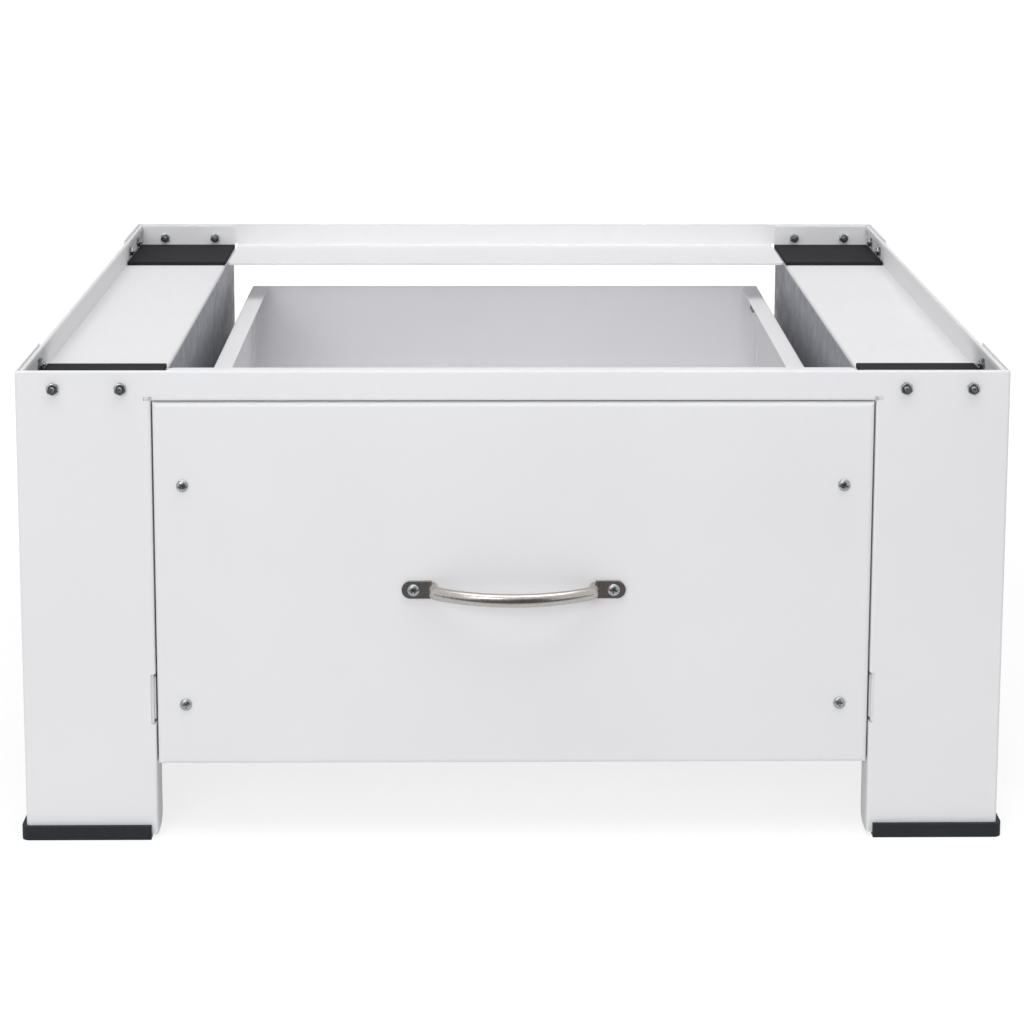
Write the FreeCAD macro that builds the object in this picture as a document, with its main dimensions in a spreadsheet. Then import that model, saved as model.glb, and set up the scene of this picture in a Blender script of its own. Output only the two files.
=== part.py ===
"""Washer pedestal with one drawer, folded from painted sheet steel.

The pedestal stands on four legs in rubber shoes. Two folded frames, front and rear, are bolted
to two side panels and to two side channels. The channels carry the machine on rubber pads
and hold the rails on which the drawer rolls.

All lengths are millimetres. X points right, Y to the rear, Z up. The floor is Z = 0 and the
middle of the whole outline, handle and shoes included, is X = 0 and Y = 0.
"""

import FreeCAD, Part
import Sketcher
import os
import re

# ---------------------------------------------------------------- sizes
# Every independent size, with what it measures. Each one becomes a named cell.

SIZES = [
    ("width", 630, "outer width over the sheet steel"),
    ("depth", 540, "outer depth over the sheet steel"),
    ("height", 310, "floor to the top of the lip"),
    ("frame_sheet", 1.5, "sheet of the frames, side panels and channels"),
    ("frame_bend", 2.2, "outer radius of a bend in that sheet"),
    ("front_leg", 85, "width of a front leg"),
    ("rear_leg", 80, "width of a rear leg"),
    ("frame_return", 80, "depth of a frame's side return"),
    ("rail_height", 19.5, "height of the top rail above the opening"),
    ("shelf_flange", 85, "depth of the flange folded in under the rail"),
    ("flange_gap", 1, "shelf flange short of the opening's edge"),
    ("flange_corner", 4, "rounded free corners of that flange"),
    ("relief_width", 4.3, "corner relief beside the opening"),
    ("relief_height", 2.8, "corner relief above the opening"),
    ("leg_flange", 23, "depth of the front leg's inner flange"),
    ("leg_flange_corner", 9, "rounding of that flange at the floor"),
    ("hem_height", 4, "height of the folded top hem"),
    ("hem_end", 4, "hem short of the sides"),
    ("slot_width", 3, "how far the runner slot cuts into the leg"),
    ("slot_gap", 1, "runner slot above and below the runner"),
    ("shelf_drop", 20, "lip top down to the shelf strips"),
    ("weld_flange", 12, "channel flange against the side panel"),
    ("channel_margin", 17.5, "channel wall below the fixed rail"),
    ("channel_return", 12, "lower return of the channel"),
    ("wall_setback", 13, "channel wall short of the rear face"),
    ("bend_clearance", 0.1, "channel's front corner clear of the frame's bend"),
    ("tab_drop", 1.5, "channel end tab below the lip's top"),
    ("panel_bottom", 50, "height of the side panel's lower edge"),
    ("panel_drop", 1, "side panel below the frame's top"),
    ("panel_return", 15, "lower return of the side panel"),
    ("panel_gap", 0.3, "side panel short of the frame's hem"),
    ("foot_wall", 3, "rubber shoe wall thickness"),
    ("foot_floor", 2.5, "rubber under the leg"),
    ("foot_height", 9, "height of the rubber shoe"),
    ("foot_setback", 4, "shoe short of the leg's edges"),
    ("pad_size", 80, "side of a square pad"),
    ("pad_thickness", 3, "thickness of a pad"),
    ("pad_side_gap", 0.5, "pad to the side panel"),
    ("pad_front_gap", 14, "front pad to the front face"),
    ("pad_rear_gap", 4, "rear pad to the rear face"),
    ("pad_rounding", 0.8, "rounded top edge of a pad"),
    ("bolt_first", 24, "outer bolt from the corner"),
    ("bolt_second", 66.5, "inner bolt from the corner"),
    ("bolt_drop", 11.3, "bolts below the lip's top"),
    ("drawer_sheet", 1, "sheet of the drawer"),
    ("drawer_gap", 1, "gap round the drawer front"),
    ("drawer_height", 239.5, "height of the drawer front"),
    ("front_fold", 15, "depth of the drawer front's folded edge"),
    ("front_bend", 3, "outer radius of the drawer front's edges"),
    ("slide_space", 16, "channel wall to the drawer box, room for the rails"),
    ("tray_drop", 29.5, "drawer box below the top of the drawer front"),
    ("tray_rear_gap", 20, "drawer box short of the rear face"),
    ("tray_flange", 14, "folded top edge of the drawer box"),
    ("tray_flange_stop", 10, "that edge short of the back"),
    ("tray_bend", 2, "outer radius of the drawer box's bends"),
    ("tray_relief", 3, "front flange clear of the bends"),
    ("back_return", 18, "side returns of the drawer's back"),
    ("back_gap", 0.3, "back clear of the floor and the folded edge"),
    ("back_screw_inset", 11, "back screws from the rear edge"),
    ("back_screw_drop", 16.5, "upper back screws below the top"),
    ("back_screw_rise", 38, "lower back screws above the floor"),
    ("screw_m_five", 4.9, "M5 screw"),
    ("hole_m_five", 5.4, "hole for it in the sheet"),
    ("head_m_five", 9, "M5 low head, diameter"),
    ("head_height_m_five", 1.8, "M5 low head, height"),
    ("nut_m_five", 8, "M5 nut across flats"),
    ("nut_height_m_five", 4, "M5 nut height"),
    ("nut_hole_m_five", 5, "M5 nut bore"),
    ("front_screw_inset", 18.5, "drawer front screws from its side edges"),
    ("front_screw_drop", 54, "upper front screws below the top edge"),
    ("front_screw_rise", 40.6, "lower front screws above the lower edge"),
    ("screw_m_four", 3.9, "M4 screw"),
    ("hole_m_four", 4.4, "hole for it in the sheet"),
    ("head_m_four", 7.7, "M4 pan head, diameter"),
    ("head_height_m_four", 2.2, "M4 pan head, height"),
    ("nut_m_four", 7, "M4 nut across flats"),
    ("nut_height_m_four", 3.2, "M4 nut height"),
    ("nut_hole_m_four", 4, "M4 nut bore"),
    ("screw_end", 1.5, "screw end beyond its nut"),
    ("handle_rise", 117.3, "handle above the drawer front's lower edge"),
    ("handle_spacing", 128, "handle hole spacing"),
    ("handle_reach", 27, "handle out from the drawer front"),
    ("bow_thickness", 6.4, "handle bar, front to rear"),
    ("bow_height", 8.7, "handle bar, height"),
    ("bow_radius", 93, "arch of the handle bar"),
    ("bow_angle", 31.8, "half the arch's angle, in degrees"),
    ("elbow_radius", 5, "turn from the arch to the drawer front"),
    ("handle_tab", 19.2, "length of a handle tab"),
    ("handle_tab_end", 7.6, "hole centre to the tab's outer end"),
    ("handle_tab_height", 11.4, "height of a handle tab"),
    ("handle_tab_thickness", 2.5, "thickness of a handle tab"),
    ("runner_sheet", 1.2, "sheet of the rails"),
    ("runner_bend", 1.8, "outer radius of the rails' bends"),
    ("runner_rise", 27.5, "fixed rail above the drawer front's lower edge"),
    ("runner_height", 32, "height of the fixed rail"),
    ("runner_flange", 12.7, "width of the fixed rail"),
    ("runner_nose", 4, "fixed rail's web from the front face"),
    ("runner_start", 18, "fixed rail's flanges from the front face"),
    ("runner_mouth", 44, "upper flange's start from the front face"),
    ("roller_diameter", 25, "rollers"),
    ("roller_width", 8.5, "rollers"),
    ("roller_bore", 6, "roller bore"),
    ("roller_side_gap", 0.5, "roller to the web that holds it"),
    ("roller_lift", 1.3, "front roller above the fixed rail's floor"),
    ("roller_round", 1, "rounded edge of a roller's tread"),
    ("rolling_gap", 0.3, "roller to the face that it rolls on"),
    ("front_roller_depth", 30, "front rollers from the front face"),
    ("rear_roller_inset", 28, "rear rollers from the drawer box's rear edge"),
    ("pin_diameter", 5.9, "roller pins"),
    ("pin_head", 9, "head of a roller pin, diameter"),
    ("pin_head_height", 1.2, "head of a roller pin, height"),
    ("pin_play", 0.3, "roller's play along its pin"),
    ("stop_gap", 0.5, "roller to the stops at both ends"),
    ("stop_height", 3, "pressed stop in the fixed rail"),
    ("stop_length", 6, "pressed stop in the fixed rail"),
    ("travel", 380, "how far the drawer pulls out"),
    ("rail_height_drawer", 27, "height of the drawer's rail"),
    ("rail_flange", 10.3, "tread of the drawer's rail"),
    ("rail_foot", 12, "flange of the drawer's rail under the box"),
    ("rail_roller_gap", 3.5, "tread short of the rear roller"),
    ("rail_tail", 12, "rail's web beyond the rear roller's axis"),
    ("rail_screw_first", 60, "first rail screw from the front face"),
    ("rail_screw_last", 52, "last rail screw from the rear roller"),
    ("rail_screw_end", 5.5, "rail screw beyond the sheet"),
    ("rail_screw_head", 7.5, "rail screw head, diameter"),
    ("rail_screw_head_height", 1.4, "rail screw head, height"),
    ("rail_screw_drop", 6.5, "drawer rail screws below the rail's top"),
]

# Places that follow from the sizes.
PLACES = {
    "outer_x": "width / 2",
    "front_y": "handle_reach - (depth + handle_reach + foot_wall) / 2",
    "rear_y": "front_y + depth",
    "opening_x": "width / 2 - front_leg",
    "rear_opening_x": "width / 2 - rear_leg",
    "opening_z": "height - rail_height",
    "flange_x": "opening_x - flange_gap",
    "wall_x": "opening_x + frame_sheet",
    "panel_x": "width / 2 - frame_sheet",
    "panel_inner_x": "width / 2 - 2 * frame_sheet",
    "shelf_z": "height - shelf_drop",
    "bolt_z": "height - bolt_drop",
    "drawer_x": "opening_x - drawer_gap",
    "drawer_top_z": "opening_z - drawer_gap",
    "drawer_low_z": "drawer_top_z - drawer_height",
    "handle_z": "drawer_low_z + handle_rise",
    "front_screw_x": "drawer_x - front_screw_inset",
    "runner_bottom": "drawer_low_z + runner_rise",
    "channel_bottom": "runner_bottom - channel_margin",
    "web_x": "wall_x - runner_sheet",
    "floor_z": "runner_bottom + runner_sheet",
    "rear_roller_z": "floor_z + rolling_gap + roller_diameter / 2",
    "front_roller_z": "floor_z + roller_lift + roller_diameter / 2",
    "tread_z": "front_roller_z + roller_diameter / 2 + rolling_gap",
    "rail_top_z": "tread_z + runner_sheet",
    "rail_low_z": "rail_top_z - rail_height_drawer",
    "tray_x": "wall_x - slide_space",
    "tray_z": "rail_low_z + runner_sheet",
    "tray_top_z": "drawer_top_z - tray_drop",
    "tray_front_y": "front_y + drawer_sheet",
    "tray_rear_y": "rear_y - tray_rear_gap",
    "front_roller_y": "front_y + front_roller_depth",
    "rear_roller_y": "tray_rear_y - rear_roller_inset",
    "rail_screw_pitch": "(rear_roller_y - front_y - rail_screw_first - rail_screw_last) / 2",
    "runner_end_y": "rear_roller_y + roller_diameter / 2 + stop_gap + runner_sheet",
    "bow_y": "front_y - handle_reach + bow_thickness / 2",
    "arch_x": "bow_radius * sin(bow_angle)",
    "post_x": "arch_x + elbow_radius * (1 - sin(bow_angle))",
    "elbow_y": "bow_y + bow_radius * (1 - cos(bow_angle)) + elbow_radius * cos(bow_angle)",
}

NAMES = [alias for alias, size, meaning in SIZES]

# Helpers for building, in the same unit. None of them is a size of the product.
PAST = 1  # a cut reaches this far past the sheet, and a joined block this far into it
SINK = 0.5  # a shank reaches this far into its own head
SEAT = 0.2  # added sheet reaches this far into the sheet that it grows from
FLAT = 0.1  # flat left beside a full rounding, and a riveted pin's end inside its web
TIGHTER = 0.5  # the leg's bend along the opening is this much tighter than the others
BUMP_INSET = 1  # the pressed stop lies this far from the open edge of the rail's floor
CORNER = 0.57735  # centre of a hexagon to its corner, for a hexagon of 1 across its flats
AXIS_HALF = 10  # half the drawn length of a turning axis

doc = FreeCAD.newDocument("washer_pedestal_drawer")
sheet = doc.addObject("Spreadsheet::Sheet", "sizes")
for row, (alias, size, meaning) in enumerate(SIZES, start=1):
    sheet.set(f"A{row}", alias)
    sheet.set(f"B{row}", str(size))
    sheet.setAlias(f"B{row}", alias)
    sheet.set(f"C{row}", meaning)
doc.recompute()


# ---------------------------------------------------------------- helpers

def formula(text):
    """Writes an expression out: a place becomes its own formula, a size becomes its cell."""
    def swap(match):
        word = match.group(0)
        if word in PLACES:
            return "(" + formula(PLACES[word]) + ")"
        if word in NAMES:
            return "sizes." + word
        return word
    return re.sub(r"[a-z_]+", swap, str(text))


def number(text):
    """The value of an expression now."""
    return float(sheet.evalExpression(formula(text)))


def new_body(name):
    """One physical piece."""
    body = doc.addObject("PartDesign::Body", name)
    body.Label = name
    body.AllowCompound = True
    return body


def new_sketch(body, role, offset):
    """An empty sketch on one of the body's own planes, moved along that plane's normal."""
    sketch = body.newObject("Sketcher::SketchObject", "Sketch")
    planes = [item for item in body.Origin.OriginFeatures if item.Role == role]
    sketch.AttachmentSupport = [(planes[0], "")]
    sketch.MapMode = "FlatFace"
    sketch.setExpression("AttachmentOffset.Base.z", formula(offset))
    return sketch


def hold(sketch, element, point, x, y):
    """Binds a point of the sketch to two expressions."""
    for kind, place in (("DistanceX", x), ("DistanceY", y)):
        index = sketch.addConstraint(
            Sketcher.Constraint(kind, -1, 1, element, point, number(place)))
        sketch.setExpression(f"Constraints[{index}]", formula(place))


def draw_outline(sketch, points):
    """A closed outline with every corner bound."""
    first = sketch.GeometryCount
    count = len(points)
    corners = [FreeCAD.Vector(number(x), number(y), 0) for x, y in points]
    for i in range(count):
        sketch.addGeometry(Part.LineSegment(corners[i], corners[(i + 1) % count]), False)
    for i, (x, y) in enumerate(points):
        before = first + (i - 1) % count
        sketch.addConstraint(Sketcher.Constraint("Coincident", before, 2, first + i, 1))
        hold(sketch, first + i, 1, x, y)


def draw_circle(sketch, x, y, diameter):
    """A circle with its centre and diameter bound."""
    centre = FreeCAD.Vector(number(x), number(y), 0)
    circle = Part.Circle(centre, FreeCAD.Vector(0, 0, 1), number(diameter) / 2)
    element = sketch.addGeometry(circle, False)
    hold(sketch, element, 3, x, y)
    index = sketch.addConstraint(Sketcher.Constraint("Diameter", element, number(diameter)))
    sketch.setExpression(f"Constraints[{index}]", formula(diameter))


def draw(sketch, shapes):
    """Shapes are outlines (lists of points) or circles (x, y, diameter)."""
    for shape in shapes:
        if isinstance(shape, tuple):
            draw_circle(sketch, *shape)
        else:
            draw_outline(sketch, shape)


def add(body, role, shapes, low, high):
    """Adds material between two heights along the plane's axis."""
    start = f"-({high})" if role == "XZ_Plane" else low
    sketch = new_sketch(body, role, start)
    draw(sketch, shapes)
    pad = body.newObject("PartDesign::Pad", "Pad")
    pad.Profile = sketch
    pad.setExpression("Length", formula(f"({high}) - ({low})"))
    doc.recompute()
    return pad


def cut(body, role, shapes, low, high):
    """Takes material away between two heights along the plane's axis."""
    before = body.Shape.Volume
    start = f"-({low})" if role == "XZ_Plane" else high
    sketch = new_sketch(body, role, start)
    draw(sketch, shapes)
    pocket = body.newObject("PartDesign::Pocket", "Pocket")
    pocket.Profile = sketch
    pocket.setExpression("Length", formula(f"({high}) - ({low})"))
    doc.recompute()
    if not body.Shape.Volume < before:
        raise RuntimeError(f"{body.Label}: a cut took nothing away")
    return pocket


def turn(body, points):
    """Turns a profile (along X, radius) into a round solid about the X axis."""
    sketch = new_sketch(body, "XY_Plane", "0")
    draw_outline(sketch, points)
    solid = body.newObject("PartDesign::Revolution", "Revolution")
    solid.Profile = sketch
    solid.ReferenceAxis = (sketch, ["H_Axis"])
    solid.Angle = 360
    doc.recompute()
    return solid


def edges(body, axis, least="0", **places):
    """Names of the straight edges along an axis, of a least length, with ends at the places."""
    found = []
    for i, edge in enumerate(body.Shape.Edges, start=1):
        if edge.Degenerated or not isinstance(edge.Curve, Part.Line):
            continue
        ends = [vertex.Point for vertex in edge.Vertexes]
        along = abs(getattr(ends[1] - ends[0], axis))
        if along < 0.999 * edge.Length or along < number(least):
            continue
        off = [abs(getattr(end, key) - number(place)) for end in ends
               for key, place in places.items()]
        if max(off) < 0.01:
            found.append(f"Edge{i}")
    if not found:
        raise RuntimeError(f"{body.Label}: no edge along {axis} at {places}")
    return found


def fillet(body, radius, names):
    """Rounds edges of the body as it stands."""
    solid = body.Tip
    rounding = body.newObject("PartDesign::Fillet", "Fillet")
    rounding.Base = (solid, names)
    rounding.setExpression("Radius", formula(radius))
    doc.recompute()
    if "Invalid" in rounding.State:
        raise RuntimeError(f"{body.Label}: {rounding.getStatusString()}")
    return rounding


def hollow(body, thickness, y):
    """Leaves a wall of one thickness, open at the flat face that lies at y."""
    solid = body.Tip
    faces = [f"Face{i}" for i, face in enumerate(solid.Shape.Faces, start=1)
             if abs(face.BoundBox.YMin - number(y)) + abs(face.BoundBox.YMax - number(y)) < 0.01]
    shell = body.newObject("PartDesign::Thickness", "Thickness")
    shell.Base = (solid, faces)
    shell.Reversed = True
    shell.setExpression("Value", formula(thickness))
    doc.recompute()
    if "Invalid" in shell.State:
        raise RuntimeError(f"{body.Label}: {shell.getStatusString()}")
    return shell


def box(x_low, x_high, y_low, y_high):
    """Four corners of a rectangle."""
    return [(x_low, y_low), (x_high, y_low), (x_high, y_high), (x_low, y_high)]


def hexagon(x, y, flats):
    """Six corners with two flats level."""
    wide = f"{CORNER} * {flats}"
    half = f"{CORNER} / 2 * {flats}"
    tall = f"{flats} / 2"
    return [
        (f"({x}) + {wide}", y),
        (f"({x}) + {half}", f"({y}) + {tall}"),
        (f"({x}) - {half}", f"({y}) + {tall}"),
        (f"({x}) - {wide}", y),
        (f"({x}) - {half}", f"({y}) - {tall}"),
        (f"({x}) + {half}", f"({y}) - {tall}"),
    ]


def out(s, inner, outer):
    """X from inner to outer on the left (s = -1) or the right (s = 1), low end first."""
    if s > 0:
        return inner, outer
    return f"-({outer})", f"-({inner})"


def inset(end, near, far):
    """Y between two depths behind the front face or before the rear face, low end first."""
    if end == "front":
        return f"front_y + {near}", f"front_y + {far}"
    return f"rear_y - ({far})", f"rear_y - ({near})"


def behind(end, depth):
    """Y at one depth behind the front face or before the rear face."""
    if end == "front":
        return f"front_y + {depth}"
    return f"rear_y - ({depth})"


SIDES = [("left", -1), ("right", 1)]
ENDS = ["front", "rear"]

# ---------------------------------------------------------------- front and rear frames
# One blank makes the rail, both legs, their side returns and the shelf flange under the rail.


def folded_frame(end, opening):
    """A frame: a wide C in plan, with the opening cut out of its face."""
    body = new_body(f"{end}_frame")
    face = behind(end, "0")
    skin = behind(end, "frame_sheet")
    tail = behind(end, "frame_return")
    plan = [
        ("-outer_x", tail), ("-outer_x", face), ("outer_x", face), ("outer_x", tail),
        ("panel_x", tail), ("panel_x", skin), ("-panel_x", skin), ("-panel_x", tail),
    ]
    add(body, "XY_Plane", [plan], "foot_floor", "height")
    fillet(body, "frame_bend", edges(body, "z", x="outer_x", y=face)
           + edges(body, "z", x="-outer_x", y=face))
    fillet(body, "frame_bend - frame_sheet", edges(body, "z", x="panel_x", y=skin)
           + edges(body, "z", x="-panel_x", y=skin))

    # The opening, with a relief at each upper corner where the flange's bend ends.
    through = inset(end, f"-{PAST}", f"frame_sheet + {PAST}")
    cut(body, "XZ_Plane", [[
        (f"-{opening}", f"-{PAST}"), (f"-{opening}", "opening_z"),
        (f"-({opening} + relief_width)", "opening_z"),
        (f"-({opening} + relief_width)", "opening_z + relief_height"),
        ("-flange_x", "opening_z + relief_height"), ("-flange_x", "opening_z"),
        ("flange_x", "opening_z"), ("flange_x", "opening_z + relief_height"),
        (f"{opening} + relief_width", "opening_z + relief_height"),
        (f"{opening} + relief_width", "opening_z"),
        (f"{opening}", "opening_z"), (f"{opening}", f"-{PAST}"),
    ]], *through)

    # The shelf flange, folded in under the rail.
    add(body, "XZ_Plane", [box("-flange_x", "flange_x", "opening_z", "opening_z + frame_sheet")],
        *inset(end, "0", "shelf_flange"))
    fillet(body, "frame_bend", edges(body, "x", opening, y=face, z="opening_z"))
    fillet(body, "frame_bend - frame_sheet",
           edges(body, "x", opening, y=skin, z="opening_z + frame_sheet"))
    flange_tip = behind(end, "shelf_flange")
    fillet(body, "flange_corner", edges(body, "z", x="flange_x", y=flange_tip)
           + edges(body, "z", x="-flange_x", y=flange_tip))
    return body


def bolt_holes(body, end):
    """Two holes per corner through the face and two through each side return."""
    spots = [f"{s} * (outer_x - {place})" for side, s in SIDES
             for place in ("bolt_first", "bolt_second")]
    cut(body, "XZ_Plane", [(x, "bolt_z", "hole_m_four") for x in spots],
        *inset(end, f"-{PAST}", f"frame_sheet + {PAST}"))
    for side, s in SIDES:
        rows = [(behind(end, place), "bolt_z", "hole_m_four")
                for place in ("bolt_first", "bolt_second")]
        cut(body, "YZ_Plane", rows, *out(s, f"panel_x - {PAST}", f"outer_x + {PAST}"))


front = folded_frame("front", "opening_x")

# The hem doubles the rail's top edge.
add(front, "XZ_Plane", [box("-(outer_x - hem_end)", "outer_x - hem_end", "height - hem_height",
                            "height")],
    "front_y + frame_sheet", "front_y + 2 * frame_sheet")
fillet(front, f"frame_sheet - {FLAT}", edges(front, "x", y="front_y", z="height")
       + edges(front, "x", y="front_y + 2 * frame_sheet", z="height"))

# The front legs are folded back along the opening, and slotted for the noses of the rails.
for side, s in SIDES:
    leg_edge = f"{s} * opening_x"
    add(front, "YZ_Plane", [box("front_y", "front_y + leg_flange", "foot_floor",
                                "opening_z - relief_height / 2")],
        *out(s, "opening_x", "wall_x"))
    fillet(front, f"frame_bend - {TIGHTER}", edges(front, "z", x=leg_edge, y="front_y"))
    fillet(front, "frame_bend - frame_sheet",
           edges(front, "z", x=f"{s} * wall_x", y="front_y + frame_sheet"))
    fillet(front, "leg_flange_corner",
           edges(front, "x", y="front_y + leg_flange", z="foot_floor"))
    cut(front, "XZ_Plane", [box(*out(s, f"opening_x - {PAST}", "opening_x + slot_width"),
                                "runner_bottom - slot_gap",
                                "runner_bottom + runner_height + slot_gap")],
        f"front_y - {PAST}", f"front_y + leg_flange + {PAST}")
bolt_holes(front, "front")

rear = folded_frame("rear", "rear_opening_x")
bolt_holes(rear, "rear")

# ---------------------------------------------------------------- side panels
# Each closes one side between the frames' returns, hemmed at the top and turned in below.

for side, s in SIDES:
    panel = new_body(f"side_panel_{side}")
    top = "(height - panel_drop)"
    section = [
        (f"{s} * panel_x", top), (f"{s} * (panel_inner_x - frame_sheet)", top),
        (f"{s} * (panel_inner_x - frame_sheet)", f"{top} - hem_height"),
        (f"{s} * panel_inner_x", f"{top} - hem_height"),
        (f"{s} * panel_inner_x", "panel_bottom + frame_sheet"),
        (f"{s} * (panel_x - panel_return)", "panel_bottom + frame_sheet"),
        (f"{s} * (panel_x - panel_return)", "panel_bottom"),
        (f"{s} * panel_x", "panel_bottom"),
    ]
    near = "2 * frame_sheet + panel_gap"
    add(panel, "XZ_Plane", [section], f"front_y + {near}", f"rear_y - ({near})")
    fillet(panel, f"frame_sheet - {FLAT}", edges(panel, "y", x=f"{s} * panel_x", z=top)
           + edges(panel, "y", x=f"{s} * (panel_inner_x - frame_sheet)", z=top))
    fillet(panel, "frame_bend", edges(panel, "y", x=f"{s} * panel_x", z="panel_bottom"))
    fillet(panel, "frame_bend - frame_sheet",
           edges(panel, "y", x=f"{s} * panel_inner_x", z="panel_bottom + frame_sheet"))
    rows = [(behind(end, place), "bolt_z", "hole_m_four") for end in ENDS
            for place in ("bolt_first", "bolt_second")]
    cut(panel, "YZ_Plane", rows, *out(s, f"panel_inner_x - {PAST}", f"panel_x + {PAST}"))

# ---------------------------------------------------------------- side channels
# The machine's shelf strip, the drawer's inner wall below it and a tab turned up at each end.

for side, s in SIDES:
    channel = new_body(f"side_channel_{side}")
    section = [
        (f"{s} * panel_inner_x", "shelf_z"), (f"{s} * wall_x", "shelf_z"),
        (f"{s} * wall_x", "channel_bottom"),
        (f"{s} * (wall_x + channel_return)", "channel_bottom"),
        (f"{s} * (wall_x + channel_return)", "channel_bottom + frame_sheet"),
        (f"{s} * (wall_x + frame_sheet)", "channel_bottom + frame_sheet"),
        (f"{s} * (wall_x + frame_sheet)", "shelf_z - frame_sheet"),
        (f"{s} * (panel_inner_x - frame_sheet)", "shelf_z - frame_sheet"),
        (f"{s} * (panel_inner_x - frame_sheet)", "shelf_z - weld_flange"),
        (f"{s} * panel_inner_x", "shelf_z - weld_flange"),
    ]
    add(channel, "XZ_Plane", [section], "front_y + frame_sheet", "rear_y - frame_sheet")
    for end in ENDS:
        add(channel, "XZ_Plane",
            [box(*out(s, "wall_x", "panel_inner_x - 1.5 * frame_sheet"),
                 "shelf_z - frame_sheet", "height - hem_height - tab_drop" if end == "front"
                 else "height - tab_drop")],
            *inset(end, "frame_sheet", "2 * frame_sheet"))
    fillet(channel, "frame_bend", edges(channel, "y", x=f"{s} * wall_x", z="shelf_z"))
    fillet(channel, "frame_bend", edges(channel, "y", x=f"{s} * wall_x", z="channel_bottom"))
    fillet(channel, "frame_bend - frame_sheet",
           edges(channel, "y", x=f"{s} * (wall_x + frame_sheet)", z="shelf_z - frame_sheet")
           + edges(channel, "y", x=f"{s} * (wall_x + frame_sheet)",
                   z="channel_bottom + frame_sheet"))
    cut(channel, "YZ_Plane", [box("rear_y - wall_setback", "rear_y",
                                  f"channel_bottom - {PAST}", "shelf_z - 2 * frame_bend")],
        *out(s, f"wall_x - {PAST}", f"wall_x + channel_return + {PAST}"))
    # The front corner is relieved for the inner radius of the leg's bend.
    clear = "(frame_bend - frame_sheet + bend_clearance)"
    cut(channel, "XY_Plane", [box(*out(s, f"wall_x - {PAST}", f"wall_x + {clear}"),
                                  "front_y", f"front_y + frame_sheet + {clear}")],
        f"channel_bottom - {PAST}", "opening_z")
    spots = [f"{s} * (outer_x - {place})" for place in ("bolt_first", "bolt_second")]
    for end in ENDS:
        cut(channel, "XZ_Plane", [(x, "bolt_z", "hole_m_four") for x in spots],
            *inset(end, f"frame_sheet - {PAST}", f"2 * frame_sheet + {PAST}"))
    rows = [(f"front_y + rail_screw_first + {i} * rail_screw_pitch",
             "runner_bottom + runner_height / 2", "hole_m_four") for i in range(3)]
    cut(channel, "YZ_Plane", rows,
        *out(s, f"wall_x - {PAST}", f"wall_x + frame_sheet + {PAST}"))

# ---------------------------------------------------------------- rubber shoes and pads
# A shoe is an L in plan with a groove that takes the face and the side return of its leg.

for end, leg in (("front", "front_leg"), ("rear", "rear_leg")):
    for side, s in SIDES:
        foot = new_body(f"foot_{end}_{side}")
        outer = f"{s} * (outer_x + foot_wall)"
        inner = f"{s} * (panel_x - foot_wall)"
        tip = f"{s} * (outer_x - {leg} + foot_setback)"
        tail = behind(end, "frame_return - foot_setback")
        plan = [
            (outer, behind(end, "(-foot_wall)")), (outer, tail), (inner, tail),
            (inner, behind(end, "frame_sheet + foot_wall")),
            (tip, behind(end, "frame_sheet + foot_wall")),
            (tip, behind(end, "(-foot_wall)")),
        ]
        add(foot, "XY_Plane", [plan], "0", "foot_height")
        fillet(foot, "frame_bend + foot_wall",
               edges(foot, "z", x=outer, y=behind(end, "(-foot_wall)")))
        groove = [
            (f"{s} * outer_x", behind(end, "0")),
            (f"{s} * outer_x", behind(end, "frame_return")),
            (f"{s} * panel_x", behind(end, "frame_return")),
            (f"{s} * panel_x", behind(end, "frame_sheet")),
            (f"{s} * (outer_x - {leg})", behind(end, "frame_sheet")),
            (f"{s} * (outer_x - {leg})", behind(end, "0")),
        ]
        cut(foot, "XY_Plane", [groove], "foot_floor", f"foot_height + {PAST}")
        fillet(foot, "frame_bend", edges(foot, "z", x=f"{s} * outer_x", y=behind(end, "0")))
        fillet(foot, "frame_bend - frame_sheet",
               edges(foot, "z", x=f"{s} * panel_x", y=behind(end, "frame_sheet")))
        pad = new_body(f"pad_{end}_{side}")
        near = f"pad_{end}_gap"
        add(pad, "XY_Plane", [box(*out(s, "panel_inner_x - pad_side_gap - pad_size",
                                       "panel_inner_x - pad_side_gap"),
                                  *inset(end, near, f"{near} + pad_size"))],
            "shelf_z", "shelf_z + pad_thickness")
        corners = [f"{s} * (panel_inner_x - pad_side_gap)",
                   f"{s} * (panel_inner_x - pad_side_gap - pad_size)"]
        fillet(pad, "pad_rounding",
               edges(pad, "x", z="shelf_z + pad_thickness")
               + edges(pad, "y", z="shelf_z + pad_thickness")
               + edges(pad, "z", x=corners[0]) + edges(pad, "z", x=corners[1]))

# ---------------------------------------------------------------- corner bolts and nuts
# Front: heads inside, nuts outside. Rear and sides: heads outside, nuts inside.


def bolt_set(name, role, spots, head, nut, tip, sizes):
    """Bolts and nuts of one face. Each span is (low, high) along the plane's axis."""
    diameter, head_diameter, flats, bore = sizes
    bolts = new_body(f"{name}_bolts")
    add(bolts, role, [(x, y, head_diameter) for x, y in spots], *head)
    add(bolts, role, [(x, y, diameter) for x, y in spots], *tip)
    nuts = new_body(f"{name}_nuts")
    shapes = []
    for x, y in spots:
        shapes.append(hexagon(x, y, flats))
        shapes.append((x, y, bore))
    add(nuts, role, shapes, *nut)
    return bolts, nuts


M_FIVE = ("screw_m_five", "head_m_five", "nut_m_five", "nut_hole_m_five")
M_FOUR = ("screw_m_four", "head_m_four", "nut_m_four", "nut_hole_m_four")

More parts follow.
